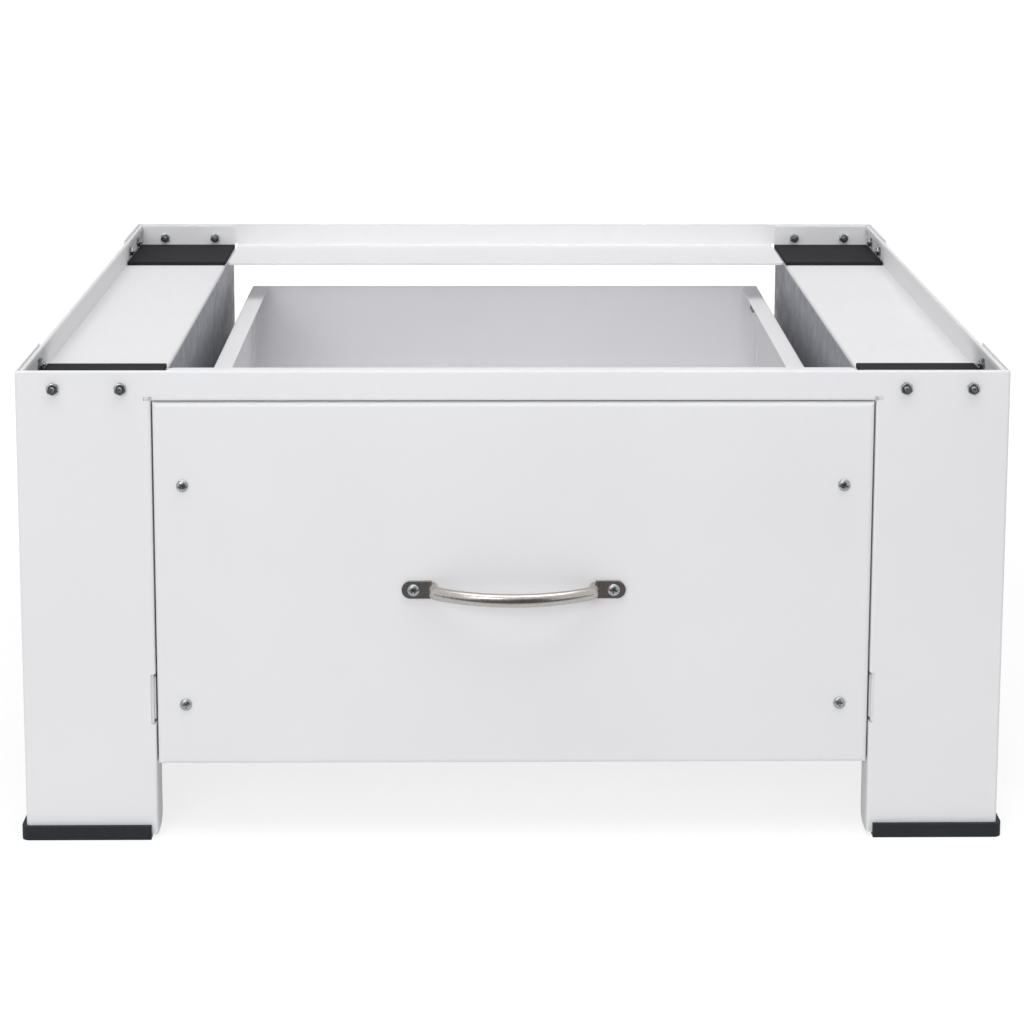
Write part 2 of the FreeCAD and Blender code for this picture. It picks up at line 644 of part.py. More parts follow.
across = [(f"{s} * (outer_x - {place})", "bolt_z") for side, s in SIDES
          for place in ("bolt_first", "bolt_second")]
along = [(behind(end, place), "bolt_z") for end in ENDS
         for place in ("bolt_first", "bolt_second")]

bolt_set("corner_front", "XZ_Plane", across,
         ("front_y + 2 * frame_sheet", "front_y + 2 * frame_sheet + head_height_m_four"),
         ("front_y - nut_height_m_four", "front_y"),
         ("front_y - nut_height_m_four - screw_end", f"front_y + 2 * frame_sheet + {SINK}"), M_FOUR)
bolt_set("corner_rear", "XZ_Plane", across,
         ("rear_y", "rear_y + head_height_m_four"),
         ("rear_y - 2 * frame_sheet - nut_height_m_four", "rear_y - 2 * frame_sheet"),
         ("rear_y - 2 * frame_sheet - nut_height_m_four - screw_end", f"rear_y + {SINK}"),
         M_FOUR)
for side, s in SIDES:
    bolt_set(f"corner_{side}", "YZ_Plane", along,
             out(s, "outer_x", "outer_x + head_height_m_four"),
             out(s, "panel_inner_x - nut_height_m_four", "panel_inner_x"),
             out(s, "panel_inner_x - nut_height_m_four - screw_end", f"outer_x + {SINK}"),
             M_FOUR)

# ---------------------------------------------------------------- fixed rails
# A channel with its web on the inner wall. The web reaches forward through the leg's slot.

for side, s in SIDES:
    runner = new_body(f"runner_fixed_{side}")
    lip_x = "(wall_x - runner_flange)"
    low, high = "runner_bottom", "(runner_bottom + runner_height)"
    section = [
        (f"{s} * wall_x", low), (f"{s} * wall_x", high), (f"{s} * {lip_x}", high),
        (f"{s} * {lip_x}", f"{high} - runner_sheet"), (f"{s} * web_x", f"{high} - runner_sheet"),
        (f"{s} * web_x", "floor_z"), (f"{s} * {lip_x}", "floor_z"), (f"{s} * {lip_x}", low),
    ]
    add(runner, "XZ_Plane", [section], "front_y + runner_start", "runner_end_y")
    fillet(runner, "runner_bend", edges(runner, "y", x=f"{s} * wall_x", z=low)
           + edges(runner, "y", x=f"{s} * wall_x", z=high))
    fillet(runner, "runner_bend - runner_sheet", edges(runner, "y", x=f"{s} * web_x", z="floor_z")
           + edges(runner, "y", x=f"{s} * web_x", z=f"{high} - runner_sheet"))
    add(runner, "YZ_Plane", [box("front_y + runner_nose", f"front_y + runner_start + {PAST}",
                                 f"{low} + runner_bend", f"{high} - runner_bend")],
        *out(s, "web_x", "wall_x"))
    # The upper flange starts behind the front roller, so that the rear roller can be dropped in.
    cut(runner, "XY_Plane", [box(*out(s, f"{lip_x} - {PAST}", "web_x - runner_bend"),
                                 "front_y", "front_y + runner_mouth")],
        f"{high} - 2 * runner_sheet", f"{high} + {PAST}")
    # Stops: the web turned in at the rear, and a bump pressed up from the floor.
    add(runner, "XZ_Plane", [box(*out(s, lip_x, "web_x"), "floor_z", f"{high} - runner_sheet")],
        "runner_end_y - runner_sheet", "runner_end_y")
    rise = "(stop_height - rolling_gap)"
    reach = f"sqrt(roller_diameter * {rise} - pow({rise}; 2))"
    bump_y = f"rear_roller_y - travel - {reach} - stop_gap"
    add(runner, "YZ_Plane", [[(f"{bump_y} - stop_length", f"floor_z - {SEAT}"),
                              (bump_y, f"floor_z - {SEAT}"), (bump_y, "floor_z + stop_height"),
                              (f"{bump_y} - stop_length / 2", "floor_z + stop_height")]],
        *out(s, f"{lip_x} + {BUMP_INSET}", f"web_x - 2 * {BUMP_INSET}"))
    rows = [(f"front_y + rail_screw_first + {i} * rail_screw_pitch",
             "runner_bottom + runner_height / 2", "hole_m_four") for i in range(3)]
    rows.append(("front_roller_y", "front_roller_z", "roller_bore"))
    cut(runner, "YZ_Plane", rows, *out(s, f"web_x - {PAST}", f"wall_x + {PAST}"))

    screws = new_body(f"runner_fixed_screws_{side}")
    spots = rows[:3]
    add(screws, "YZ_Plane", [(y, z, "rail_screw_head") for y, z, hole in spots],
        *out(s, "web_x - rail_screw_head_height", "web_x"))
    add(screws, "YZ_Plane", [(y, z, "screw_m_four") for y, z, hole in spots],
        *out(s, f"web_x - {SINK}", "wall_x + frame_sheet + rail_screw_end"))

# ---------------------------------------------------------------- drawer rails
# The tread rides on the front roller, the web is screwed to the box and the foot lies under it.

for side, s in SIDES:
    rail = new_body(f"runner_drawer_{side}")
    web_out = "(tray_x + runner_sheet)"
    section = [
        (f"{s} * tray_x", "rail_top_z"), (f"{s} * ({web_out} + rail_flange)", "rail_top_z"),
        (f"{s} * ({web_out} + rail_flange)", "tread_z"), (f"{s} * {web_out}", "tread_z"),
        (f"{s} * {web_out}", "rail_low_z"), (f"{s} * (tray_x - rail_foot)", "rail_low_z"),
        (f"{s} * (tray_x - rail_foot)", "tray_z"), (f"{s} * tray_x", "tray_z"),
    ]
    add(rail, "XZ_Plane", [section], "front_y + runner_nose", "rear_roller_y + rail_tail")
    fillet(rail, "runner_bend", edges(rail, "y", x=f"{s} * tray_x", z="rail_top_z")
           + edges(rail, "y", x=f"{s} * {web_out}", z="rail_low_z"))
    fillet(rail, "runner_bend - runner_sheet", edges(rail, "y", x=f"{s} * {web_out}", z="tread_z"))
    stub = f"runner_bend - runner_sheet + {SEAT}"
    cut(rail, "XY_Plane", [box(*out(s, f"{web_out} + {stub}", f"{web_out} + rail_flange + {PAST}"),
                               "rear_roller_y - roller_diameter / 2 - rail_roller_gap",
                               f"rear_roller_y + rail_tail + {PAST}")],
        f"tread_z - {PAST}", f"rail_top_z + {PAST}")
    rows = [(f"front_y + rail_screw_first + {i} * rail_screw_pitch",
             "rail_top_z - rail_screw_drop", "hole_m_four") for i in range(3)]
    rows.append(("rear_roller_y", "rear_roller_z", "roller_bore"))
    cut(rail, "YZ_Plane", rows, *out(s, f"tray_x - {PAST}", f"{web_out} + {PAST}"))

    screws = new_body(f"runner_drawer_screws_{side}")
    spots = rows[:3]
    add(screws, "YZ_Plane", [(y, z, "rail_screw_head") for y, z, hole in spots],
        *out(s, web_out, f"{web_out} + rail_screw_head_height"))
    add(screws, "YZ_Plane", [(y, z, "screw_m_four") for y, z, hole in spots],
        *out(s, "tray_x - drawer_sheet - rail_screw_end", f"{web_out} + {SINK}"))

# ---------------------------------------------------------------- rollers and their pins


def roller(name, x, y, z):
    """A nylon roller, drawn about its own axis and then put in place."""
    body = new_body(name)
    half, bore, tread = "roller_width / 2", "roller_bore / 2", "roller_diameter / 2"
    turn(body, [
        (f"-{half}", bore), (half, bore), (half, f"{tread} - roller_round"),
        (f"{half} - roller_round", tread), (f"-({half} - roller_round)", tread),
        (f"-{half}", f"{tread} - roller_round"),
    ])
    for axis, place in (("x", x), ("y", y), ("z", z)):
        body.setExpression(f"Placement.Base.{axis}", formula(place))
    return body


def roller_pin(name, s, root, shoulder, y, z):
    """A pin riveted into a web, with a head that keeps the roller on."""
    body = new_body(name)
    shank, head = "pin_diameter / 2", "pin_head / 2"
    turn(body, [
        (f"{s} * ({root})", "0"), (f"{s} * ({root})", shank),
        (f"{s} * ({shoulder[0]})", shank), (f"{s} * ({shoulder[0]})", head),
        (f"{s} * ({shoulder[1]})", head), (f"{s} * ({shoulder[1]})", "0"),
    ])
    for axis, place in (("y", y), ("z", z)):
        body.setExpression(f"Placement.Base.{axis}", formula(place))
    return body


for side, s in SIDES:
    front_inner = "web_x - roller_side_gap - roller_width"
    roller(f"roller_front_{side}", f"{s} * ({front_inner} + roller_width / 2)",
           "front_roller_y", "front_roller_z")
    roller_pin(f"roller_pin_front_{side}", s, f"wall_x - {FLAT}",
               (f"{front_inner} - pin_play", f"{front_inner} - pin_play - pin_head_height"),
               "front_roller_y", "front_roller_z")
    rear_inner = "tray_x + runner_sheet + roller_side_gap"
    roller(f"roller_rear_{side}", f"{s} * ({rear_inner} + roller_width / 2)",
           "rear_roller_y", "rear_roller_z")
    rear_outer = f"{rear_inner} + roller_width + pin_play"
    roller_pin(f"roller_pin_rear_{side}", s, f"tray_x + {FLAT}",
               (rear_outer, f"{rear_outer} + pin_head_height"),
               "rear_roller_y", "rear_roller_z")

# ---------------------------------------------------------------- drawer box

tray = new_body("drawer_tray")
inner_x = "(tray_x - drawer_sheet)"
lip_x = "(tray_x - tray_flange)"
section = [
    ("-tray_x", "tray_z"), ("tray_x", "tray_z"), ("tray_x", "tray_top_z"),
    (lip_x, "tray_top_z"), (lip_x, "tray_top_z - drawer_sheet"),
    (inner_x, "tray_top_z - drawer_sheet"), (inner_x, "tray_z + drawer_sheet"),
    (f"-{inner_x}", "tray_z + drawer_sheet"), (f"-{inner_x}", "tray_top_z - drawer_sheet"),
    (f"-{lip_x}", "tray_top_z - drawer_sheet"), (f"-{lip_x}", "tray_top_z"),
    ("-tray_x", "tray_top_z"),
]
add(tray, "XZ_Plane", [section], "tray_front_y", "tray_rear_y")
outer_bends = []
for side, s in SIDES:
    outer_bends += edges(tray, "y", x=f"{s} * tray_x", z="tray_z")
    outer_bends += edges(tray, "y", x=f"{s} * tray_x", z="tray_top_z")
fillet(tray, "tray_bend", outer_bends)
inner_bends = []
for side, s in SIDES:
    inner_bends += edges(tray, "y", x=f"{s} * {inner_x}", z="tray_z + drawer_sheet")
    inner_bends += edges(tray, "y", x=f"{s} * {inner_x}", z="tray_top_z - drawer_sheet")
fillet(tray, "tray_bend - drawer_sheet", inner_bends)

for side, s in SIDES:
    # The folded top edge stops short of the back.
    cut(tray, "XY_Plane", [box(*out(s, f"{lip_x} - {PAST}", inner_x),
                               "tray_rear_y - tray_flange_stop", f"tray_rear_y + {PAST}")],
        "tray_top_z - tray_bend", f"tray_top_z + {PAST}")
    # The wall is turned in behind the drawer front.
    add(tray, "XZ_Plane", [box(*out(s, lip_x, f"tray_x - {SEAT}"), "tray_z + tray_relief",
                               "tray_top_z - tray_relief")],
        "tray_front_y", "tray_front_y + drawer_sheet")
    rows = [(f"front_y + rail_screw_first + {i} * rail_screw_pitch",
             "rail_top_z - rail_screw_drop", "hole_m_four") for i in range(3)]
    rows.append(("tray_rear_y - back_screw_inset", "tray_top_z - back_screw_drop", "hole_m_five"))
    rows.append(("tray_rear_y - back_screw_inset", "tray_z + back_screw_rise", "hole_m_five"))
    cut(tray, "YZ_Plane", rows, *out(s, f"{inner_x} - {SINK}", f"tray_x + {PAST}"))

front_spots = [(f"{s} * front_screw_x", z) for side, s in SIDES
               for z in ("drawer_top_z - front_screw_drop", "drawer_low_z + front_screw_rise")]
cut(tray, "XZ_Plane", [(x, z, "hole_m_four") for x, z in front_spots],
    f"tray_front_y - {PAST}", f"tray_front_y + drawer_sheet + {PAST}")

# The back stands between the walls, with a return along each of them.
back = new_body("drawer_back")
plate_x = "(tray_x - drawer_sheet)"
add(back, "XZ_Plane", [box(f"-{plate_x}", plate_x, "tray_z + drawer_sheet + back_gap",
                           "tray_top_z")],
    "tray_rear_y - drawer_sheet", "tray_rear_y")
fillet(back, "tray_bend", edges(back, "y", x=plate_x, z="tray_z + drawer_sheet + back_gap")
       + edges(back, "y", x=f"-{plate_x}", z="tray_z + drawer_sheet + back_gap"))
for side, s in SIDES:
    add(back, "YZ_Plane", [box("tray_rear_y - back_return", "tray_rear_y",
                               "tray_z + tray_bend + back_gap",
                               "tray_top_z - tray_bend - back_gap")],
        *out(s, f"{plate_x} - drawer_sheet", plate_x))
    fillet(back, "drawer_sheet",
           edges(back, "z", x=f"{s} * ({plate_x} - drawer_sheet)",
                 y="tray_rear_y - drawer_sheet"))
    rows = [("tray_rear_y - back_screw_inset", "tray_top_z - back_screw_drop", "hole_m_five"),
            ("tray_rear_y - back_screw_inset", "tray_z + back_screw_rise", "hole_m_five")]
    cut(back, "YZ_Plane", rows,
        *out(s, f"{plate_x} - drawer_sheet - {PAST}", f"{plate_x} + {SINK}"))
    nut_face = "(tray_x - 2 * drawer_sheet)"
    bolt_set(f"drawer_back_{side}", "YZ_Plane", [(y, z) for y, z, hole in rows],
             out(s, "tray_x", "tray_x + head_height_m_five"),
             out(s, f"{nut_face} - nut_height_m_five", nut_face),
             out(s, f"{nut_face} - nut_height_m_five - screw_end", f"tray_x + {SINK}"), M_FIVE)

# ---------------------------------------------------------------- drawer front
# A shallow pan: the sheet is turned back on all four edges.

panel = new_body("drawer_front")
add(panel, "XZ_Plane", [box("-drawer_x", "drawer_x", "drawer_low_z", "drawer_top_z")],
    "front_y", "front_y + front_fold")
fillet(panel, "front_bend",
       edges(panel, "x", y="front_y", z="drawer_low_z")
       + edges(panel, "x", y="front_y", z="drawer_top_z")
       + edges(panel, "z", x="drawer_x", y="front_y")
       + edges(panel, "z", x="-drawer_x", y="front_y"))
hollow(panel, "drawer_sheet", "front_y + front_fold")
handle_spots = [(f"{s} * handle_spacing / 2", "handle_z") for side, s in SIDES]
cut(panel, "XZ_Plane", [(x, z, "hole_m_four") for x, z in front_spots + handle_spots],
    f"front_y - {PAST}", f"front_y + drawer_sheet + {PAST}")

bolt_set("drawer_front", "XZ_Plane", front_spots,
         ("front_y - head_height_m_four", "front_y"),
         ("front_y + 2 * drawer_sheet", "front_y + 2 * drawer_sheet + nut_height_m_four"),
         (f"front_y - {SINK}", "front_y + 2 * drawer_sheet + nut_height_m_four + screw_end"),
         M_FOUR)

# ---------------------------------------------------------------- handle
# A bow of oval bar: one wide arch, an elbow at each end, and a flat tab with the screw hole.

handle = new_body("handle")


def oval(sketch, x, y):
    """The bar's section, thickness across and height up, centred on (x, y)."""
    centre = FreeCAD.Vector(number(x), number(y), 0)
    upright = number("bow_height / 2")
    thin = number("bow_thickness / 2")
    shape = Part.Ellipse(centre + FreeCAD.Vector(0, upright, 0),
                         centre + FreeCAD.Vector(-thin, 0, 0), centre)
    element = sketch.addGeometry(shape, False)
    sketch.exposeInternalGeometry(element)
    hold(sketch, element, 3, x, y)
    major, minor = element + 1, element + 2
    for line, kind, size in ((major, "DistanceY", "bow_height"),
                             (minor, "DistanceX", "bow_thickness")):
        ends = sketch.Geometry[line]
        span = ends.EndPoint - ends.StartPoint
        first, second = (1, 2) if (span.x + span.y) > 0 else (2, 1)
        index = sketch.addConstraint(
            Sketcher.Constraint(kind, line, first, line, second, number(size)))
        sketch.setExpression(f"Constraints[{index}]", formula(size))
    sketch.addConstraint(Sketcher.Constraint("Vertical", major))


def swing(sketch, x):
    """A vertical construction line in the sketch, to turn the section about."""
    low, high = f"handle_z - {AXIS_HALF}", f"handle_z + {AXIS_HALF}"
    points = [FreeCAD.Vector(number(x), number(y), 0) for y in (low, high)]
    element = sketch.addGeometry(Part.LineSegment(*points), True)
    hold(sketch, element, 1, x, low)
    hold(sketch, element, 2, x, high)


arch = new_sketch(handle, "YZ_Plane", "0")
swing(arch, "bow_y + bow_radius")
oval(arch, "bow_y", "handle_z")
bow = handle.newObject("PartDesign::Revolution", "Bow")
bow.Profile = arch
bow.ReferenceAxis = (arch, ["Axis0"])
bow.Midplane = True
bow.setExpression("Angle", formula("2 * bow_angle"))
doc.recompute()

for side, s in SIDES:
    turn_sketch = new_sketch(handle, "XZ_Plane", "-(elbow_y)")
    swing(turn_sketch, f"{s} * (post_x - elbow_radius)")
    oval(turn_sketch, f"{s} * post_x", "handle_z")
    elbow = handle.newObject("PartDesign::Revolution", "Elbow")
    elbow.Profile = turn_sketch
    elbow.ReferenceAxis = (turn_sketch, ["Axis0"])
    elbow.setExpression("Angle", formula("90 - bow_angle"))
    elbow.Reversed = s > 0
    doc.recompute()
    post_sketch = new_sketch(handle, "XZ_Plane", "-(front_y)")
    oval(post_sketch, f"{s} * post_x", "handle_z")
    post = handle.newObject("PartDesign::Pad", "Post")
    post.Profile = post_sketch
    post.setExpression("Length", formula("front_y - elbow_y"))
    doc.recompute()
    tab_outer = "(handle_spacing / 2 + handle_tab_end)"
    tab_inner = f"({tab_outer} - handle_tab)"
    add(handle, "XZ_Plane", [box(*out(s, tab_inner, tab_outer),
                                 "handle_z - handle_tab_height / 2",
                                 "handle_z + handle_tab_height / 2")],
        "front_y - handle_tab_thickness", "front_y")
    fillet(handle, f"handle_tab_height / 2 - {FLAT}",
           edges(handle, "y", x=f"{s} * {tab_outer}"))
cut(handle, "XZ_Plane", [(x, z, "hole_m_four") for x, z in handle_spots],
    f"front_y - handle_tab_thickness - {PAST}", f"front_y + {PAST}")

bolt_set("handle", "XZ_Plane", handle_spots,
         ("front_y - handle_tab_thickness - head_height_m_four",
          "front_y - handle_tab_thickness"),
         ("front_y + drawer_sheet", "front_y + drawer_sheet + nut_height_m_four"),
         (f"front_y - handle_tab_thickness - {SINK}",
          "front_y + drawer_sheet + nut_height_m_four + screw_end"), M_FOUR)

# ---------------------------------------------------------------- check and write out

doc.recompute()
for item in doc.Objects:
    if "Invalid" in item.State or "Error" in item.State:
        raise RuntimeError(f"{item.Label}: {item.State}")

os.makedirs("parts", exist_ok=True)
bodies = [item for item in doc.Objects if item.TypeId == "PartDesign::Body"]
for body in bodies:
    if body.Shape.isNull() or not body.Shape.isValid():
        raise RuntimeError(f"{body.Label}: no valid shape")
    body.Shape.exportStep(f"parts/{body.Label}.step")
print(len(bodies), "pieces written")
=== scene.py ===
# %% [markdown]
# # Washer pedestal with a drawer
#
# The object is a low stand for a washing machine, folded from sheet steel and powder coated
# white. The CAD model already holds every sheet, rail, roller and rubber shoe at its real size,
# so this lesson does what CAD doesn't: the finishes, the screws and nuts, the light and the
# camera. Blender works in metres here. X points right, Y to the rear and Z up, with the floor at
# Z = 0.

import math

import bmesh
import bpy
from mathutils import Matrix, Vector


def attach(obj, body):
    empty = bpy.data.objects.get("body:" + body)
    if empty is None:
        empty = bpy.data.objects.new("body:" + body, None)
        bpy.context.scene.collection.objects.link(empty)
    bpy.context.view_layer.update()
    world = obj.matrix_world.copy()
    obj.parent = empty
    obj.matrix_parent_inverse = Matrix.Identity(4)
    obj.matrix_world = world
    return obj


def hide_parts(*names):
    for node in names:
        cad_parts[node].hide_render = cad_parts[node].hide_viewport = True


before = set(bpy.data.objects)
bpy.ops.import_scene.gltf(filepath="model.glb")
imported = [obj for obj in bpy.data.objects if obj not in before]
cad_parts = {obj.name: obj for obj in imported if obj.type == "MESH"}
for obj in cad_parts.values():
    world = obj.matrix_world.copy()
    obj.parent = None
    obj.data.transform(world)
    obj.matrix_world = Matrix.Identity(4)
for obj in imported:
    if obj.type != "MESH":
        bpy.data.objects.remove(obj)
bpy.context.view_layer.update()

# %% [markdown]
# ## Camera
#
# The photograph was taken with a long lens from 1.5 m in front of the pedestal, a little left of
# its middle and twice as high as its top. The picture was then cropped well below the lens axis.
# A camera with a vertical shift repeats that crop. Tilting it further down instead would make the
# legs converge more than they do in the photograph.

# %% Camera
CAMERA_PLACE = Vector((-0.022341, -1.70585, 0.65598))
YAW, PITCH, ROLL = 0.0151339, 0.1415129, 0.0029329

forward = Vector((math.sin(YAW) * math.cos(PITCH), math.cos(YAW) * math.cos(PITCH),
                  -math.sin(PITCH)))
level = Vector((math.cos(YAW), -math.sin(YAW), 0))
right = math.cos(ROLL) * level + math.sin(ROLL) * level.cross(forward)
up = right.cross(forward)

camera = bpy.data.objects.new("camera", bpy.data.cameras.new("camera"))
bpy.context.scene.collection.objects.link(camera)
turn = Matrix((right, up, -forward)).transposed().to_4x4()
camera.matrix_world = Matrix.Translation(CAMERA_PLACE) @ turn
camera.data.lens = 82.54
camera.data.sensor_width = 36
camera.data.shift_x = -0.00219
camera.data.shift_y = -0.35176
bpy.context.scene.camera = camera
bpy.context.scene.view_settings.view_transform = "Standard"
print("camera", [round(v, 3) for v in CAMERA_PLACE], "lens", camera.data.lens)

# %% [markdown]
# ## Colours and nodes
#
# A colour picker gives sRGB values, and a shader wants linear ones, so one function turns a hex
# code into a linear colour. A second function adds a node of any kind with its settings and its
# inputs. An input is a plain number or colour, or the output of an earlier node, which is then
# linked. No real finish has one flat colour, so a third one lets a colour drift between two close
# tones, in clouds whose width is given in metres.

# %% Helpers for materials
def colour(code):
    """An sRGB hex code as a linear RGBA colour."""
    parts = [int(code[i:i + 2], 16) / 255 for i in (1, 3, 5)]
    return [p / 12.92 if p <= 0.04045 else ((p + 0.055) / 1.055) ** 2.4 for p in parts] + [1]


def add(tree, kind, inputs=None, **settings):
    """Adds a node, sets what it is, and fills or links its inputs."""
    node = tree.nodes.new(kind)
    for name, value in settings.items():
        setattr(node, name, value)
    for key, value in (inputs or {}).items():
        if isinstance(value, bpy.types.NodeSocket):
            tree.links.new(value, node.inputs[key])
        else:
            node.inputs[key].default_value = value
    return node


def new_material(name):
    """A material with an empty node tree and its output node."""
    material = bpy.data.materials.new(name)
    material.use_nodes = True
    material.node_tree.nodes.clear()
    return material, material.node_tree, material.node_tree.nodes.new("ShaderNodeOutputMaterial")


def cloudy(tree, place, width, detail, first, second):
    """A colour that drifts between two hex codes, in soft clouds of a real width."""
    cloud = add(tree, "ShaderNodeTexNoise", {"Vector": place, "Scale": 1 / width,
                                             "Detail": detail})
    tone = add(tree, "ShaderNodeMix", {"Factor": cloud.outputs["Fac"], "A": colour(first),
                                       "B": colour(second)}, data_type="RGBA")
    return tone.outputs["Result"]


MM = 0.001
print("white #E6E6E8 is", [round(c, 3) for c in colour("#E6E6E8")])

# %% [markdown]
# ## Powder coat
#
# The sheets are mild steel with a white polyester powder coat: powder is sprayed on dry and baked
# until it flows. It gives a satin skin that is never quite flat. The melt keeps a shallow
# waviness called orange peel, with bumps about 2 mm across, and it is a little glossier where it
# flowed better. Both are noise on Object coordinates, so the pattern keeps its real size on every
# sheet and needs no UV map. A very faint change of tone over a hand's width keeps large panels
# from looking like cut paper. A satin powder reflects less than a clear lacquer, so its specular
# level is 0.2 and not 0.5. Otherwise a sheet seen at a grazing angle would mirror the white
# studio and turn chalky.

# %% Powder coat
WHITE = ("#F1F1F3", "#ECECEE")
SATIN = (0.5, 0.62)
PEEL, PEEL_DEPTH, PEEL_STRENGTH = 2.2 * MM, 0.05 * MM, 0.12
CLOUD, FLOW = 90 * MM, 25 * MM
POLYESTER_IOR, LOW_SPECULAR = 1.5, 0.2


def flowed(tree, place, gloss):
    """A roughness within a range: lower where the melt flowed better."""
    flow = add(tree, "ShaderNodeTexNoise", {"Vector": place, "Scale": 1 / FLOW, "Detail": 3})
    return add(tree, "ShaderNodeMapRange", {"Value": flow.outputs["Fac"], "To Min": gloss[0],
                                            "To Max": gloss[1]}).outputs["Result"]


def orange_peel(tree, place, width):
    """The shallow waves of a baked coat, as a normal."""
    waves = add(tree, "ShaderNodeTexNoise", {"Vector": place, "Scale": 1 / width, "Detail": 1})
    skin = add(tree, "ShaderNodeBump", {"Height": waves.outputs["Fac"], "Strength": PEEL_STRENGTH,
                                        "Distance": PEEL_DEPTH})
    return skin.outputs["Normal"]


def powder_coat(name, tones, peel, gloss):
    """A baked coat: two close tones, orange peel of a real width, and a range of roughness."""
    material, tree, output = new_material(name)
    place = add(tree, "ShaderNodeTexCoord").outputs["Object"]
    shader = add(tree, "ShaderNodeBsdfPrincipled", {
        "Base Color": cloudy(tree, place, CLOUD, 2, *tones),
        "Roughness": flowed(tree, place, gloss), "Normal": orange_peel(tree, place, peel),
        "IOR": POLYESTER_IOR, "Specular IOR Level": LOW_SPECULAR})
    tree.links.new(shader.outputs["BSDF"], output.inputs["Surface"])
    return material


white_coat = powder_coat("white_polyester_powder_coat", WHITE, PEEL, SATIN)
rail_coat = powder_coat("white_epoxy_coat", ("#E4E4E2", "#DCDCDA"), 1.4 * MM, (0.45, 0.55))
print("made", white_coat.name, "and", rail_coat.name)

# %% [markdown]
# ## The channels' coat and painted shade
#
# The two channels beside the drawer are folded from sheet steel. The strip on top shows, so it
# is powder coated with the rest. The wall that hangs down beside the drawer is the same coated
# sheet, and here it is painted a dull grey: painted shade for the narrow gap it faces. Its front
# end, seen through the slot in each leg, is left white. One material holds both. The heights and
# distances below find the wall on Object coordinates, and a little noise on the border makes the
# painted shade fade out unevenly over 2 mm. Within it, faint cells 9 mm wide give the grey its
# own tone and sheen.

# %% Coat and painted shade
# Painted shade: the dull grey and the roughness of the wall beside the drawer.
SHADE_GREY = ("#A6A7AE", "#999AA1")
SHADE_ROUGHNESS = (0.45, 0.6)
SHADE_CELL = 9 * MM
SHADE_EDGE_NOISE, SHADE_EDGE_DEPTH = 4 * MM, 2 * MM
# The painted shade is below, inside and behind these borders. Each fades from its first to its
# second value.
WALL_TOP = (287.5 * MM, 289.5 * MM)
WALL_FACE = (233.2 * MM, 234.2 * MM)
WALL_FRONT = (-237 * MM, -232 * MM)


def sheet_with_painted_shade(name, tones, shade_tones):
    """Powder coat above, and grey painted shade on the wall below the bend."""
    material, tree, output = new_material(name)
    place = add(tree, "ShaderNodeTexCoord").outputs["Object"]
    axes = add(tree, "ShaderNodeSeparateXYZ", {"Vector": place})
    shade_edge = add(tree, "ShaderNodeTexNoise", {"Vector": place, "Scale": 1 / SHADE_EDGE_NOISE, "Detail": 2})
    height = add(tree, "ShaderNodeMath", {0: shade_edge.outputs["Fac"], 1: SHADE_EDGE_DEPTH,
                                          2: axes.outputs["Z"]}, operation="MULTIPLY_ADD")
    across = add(tree, "ShaderNodeMath", {0: axes.outputs["X"]}, operation="ABSOLUTE")
    wall = None
    for place_on_axis, border, inside in ((height.outputs["Value"], WALL_TOP, (1, 0)),
                                          (across.outputs["Value"], WALL_FACE, (1, 0)),
                                          (axes.outputs["Y"], WALL_FRONT, (0, 1))):
        side = add(tree, "ShaderNodeMapRange", {
            "Value": place_on_axis, "From Min": border[0], "From Max": border[1],
            "To Min": inside[0], "To Max": inside[1]}).outputs["Result"]
        wall = side if wall is None else add(tree, "ShaderNodeMath", {0: wall, 1: side},
                                             operation="MULTIPLY").outputs["Value"]

    # The painted shade varies in tone and roughness in faint 9 mm cells.
    shade_cells = add(tree, "ShaderNodeTexVoronoi", {"Vector": place, "Scale": 1 / SHADE_CELL,
                                                  "Randomness": 1})
    grey = add(tree, "ShaderNodeSeparateColor", {"Color": shade_cells.outputs["Color"]}).outputs["Red"]
    shade_tone = add(tree, "ShaderNodeMix", {"Factor": grey, "A": colour(shade_tones[0]),
                                            "B": colour(shade_tones[1])}, data_type="RGBA")
    shade_gloss = add(tree, "ShaderNodeMapRange", {"Value": grey, "To Min": SHADE_ROUGHNESS[0],
                                                  "To Max": SHADE_ROUGHNESS[1]})
    tone = add(tree, "ShaderNodeMix", {"Factor": wall, "A": cloudy(tree, place, CLOUD, 2, *tones),
                                       "B": shade_tone.outputs["Result"]}, data_type="RGBA")
    roughness = add(tree, "ShaderNodeMix", {"Factor": wall, "A": flowed(tree, place, SATIN),
                                            "B": shade_gloss.outputs["Result"]}, data_type="FLOAT")
    shader = add(tree, "ShaderNodeBsdfPrincipled", {
        "Base Color": tone.outputs["Result"], "Roughness": roughness.outputs["Result"],
        "Normal": orange_peel(tree, place, PEEL), "IOR": POLYESTER_IOR,
        "Specular IOR Level": LOW_SPECULAR})
    tree.links.new(shader.outputs["BSDF"], output.inputs["Surface"])
    return material


# The channels' white coat, with grey painted shade on the wall beside the drawer.
channel_coat_and_shade = sheet_with_painted_shade("coat_and_painted_shade", WHITE, SHADE_GREY)
print("made", channel_coat_and_shade.name)

# %% [markdown]
# ## Rubber
#
# The shoes are moulded in EPDM, a black rubber that is really a very dark blue grey, because its
# carbon black scatters a little light. The pads are softer, duller and plain black. Both have the
# fine grain of a blasted mould, about 0.3 mm in life. It is drawn at 0.8 mm on the shoes and 0.6
# mm on the pads, because anything finer is lost between the pixels and only adds noise.

# %% Rubber
DUST = 22 * MM
PIT_DEPTH, PIT_STRENGTH = 0.08 * MM, 0.35
RUBBER_IOR, RUBBER_SPECULAR = 1.52, 0.15


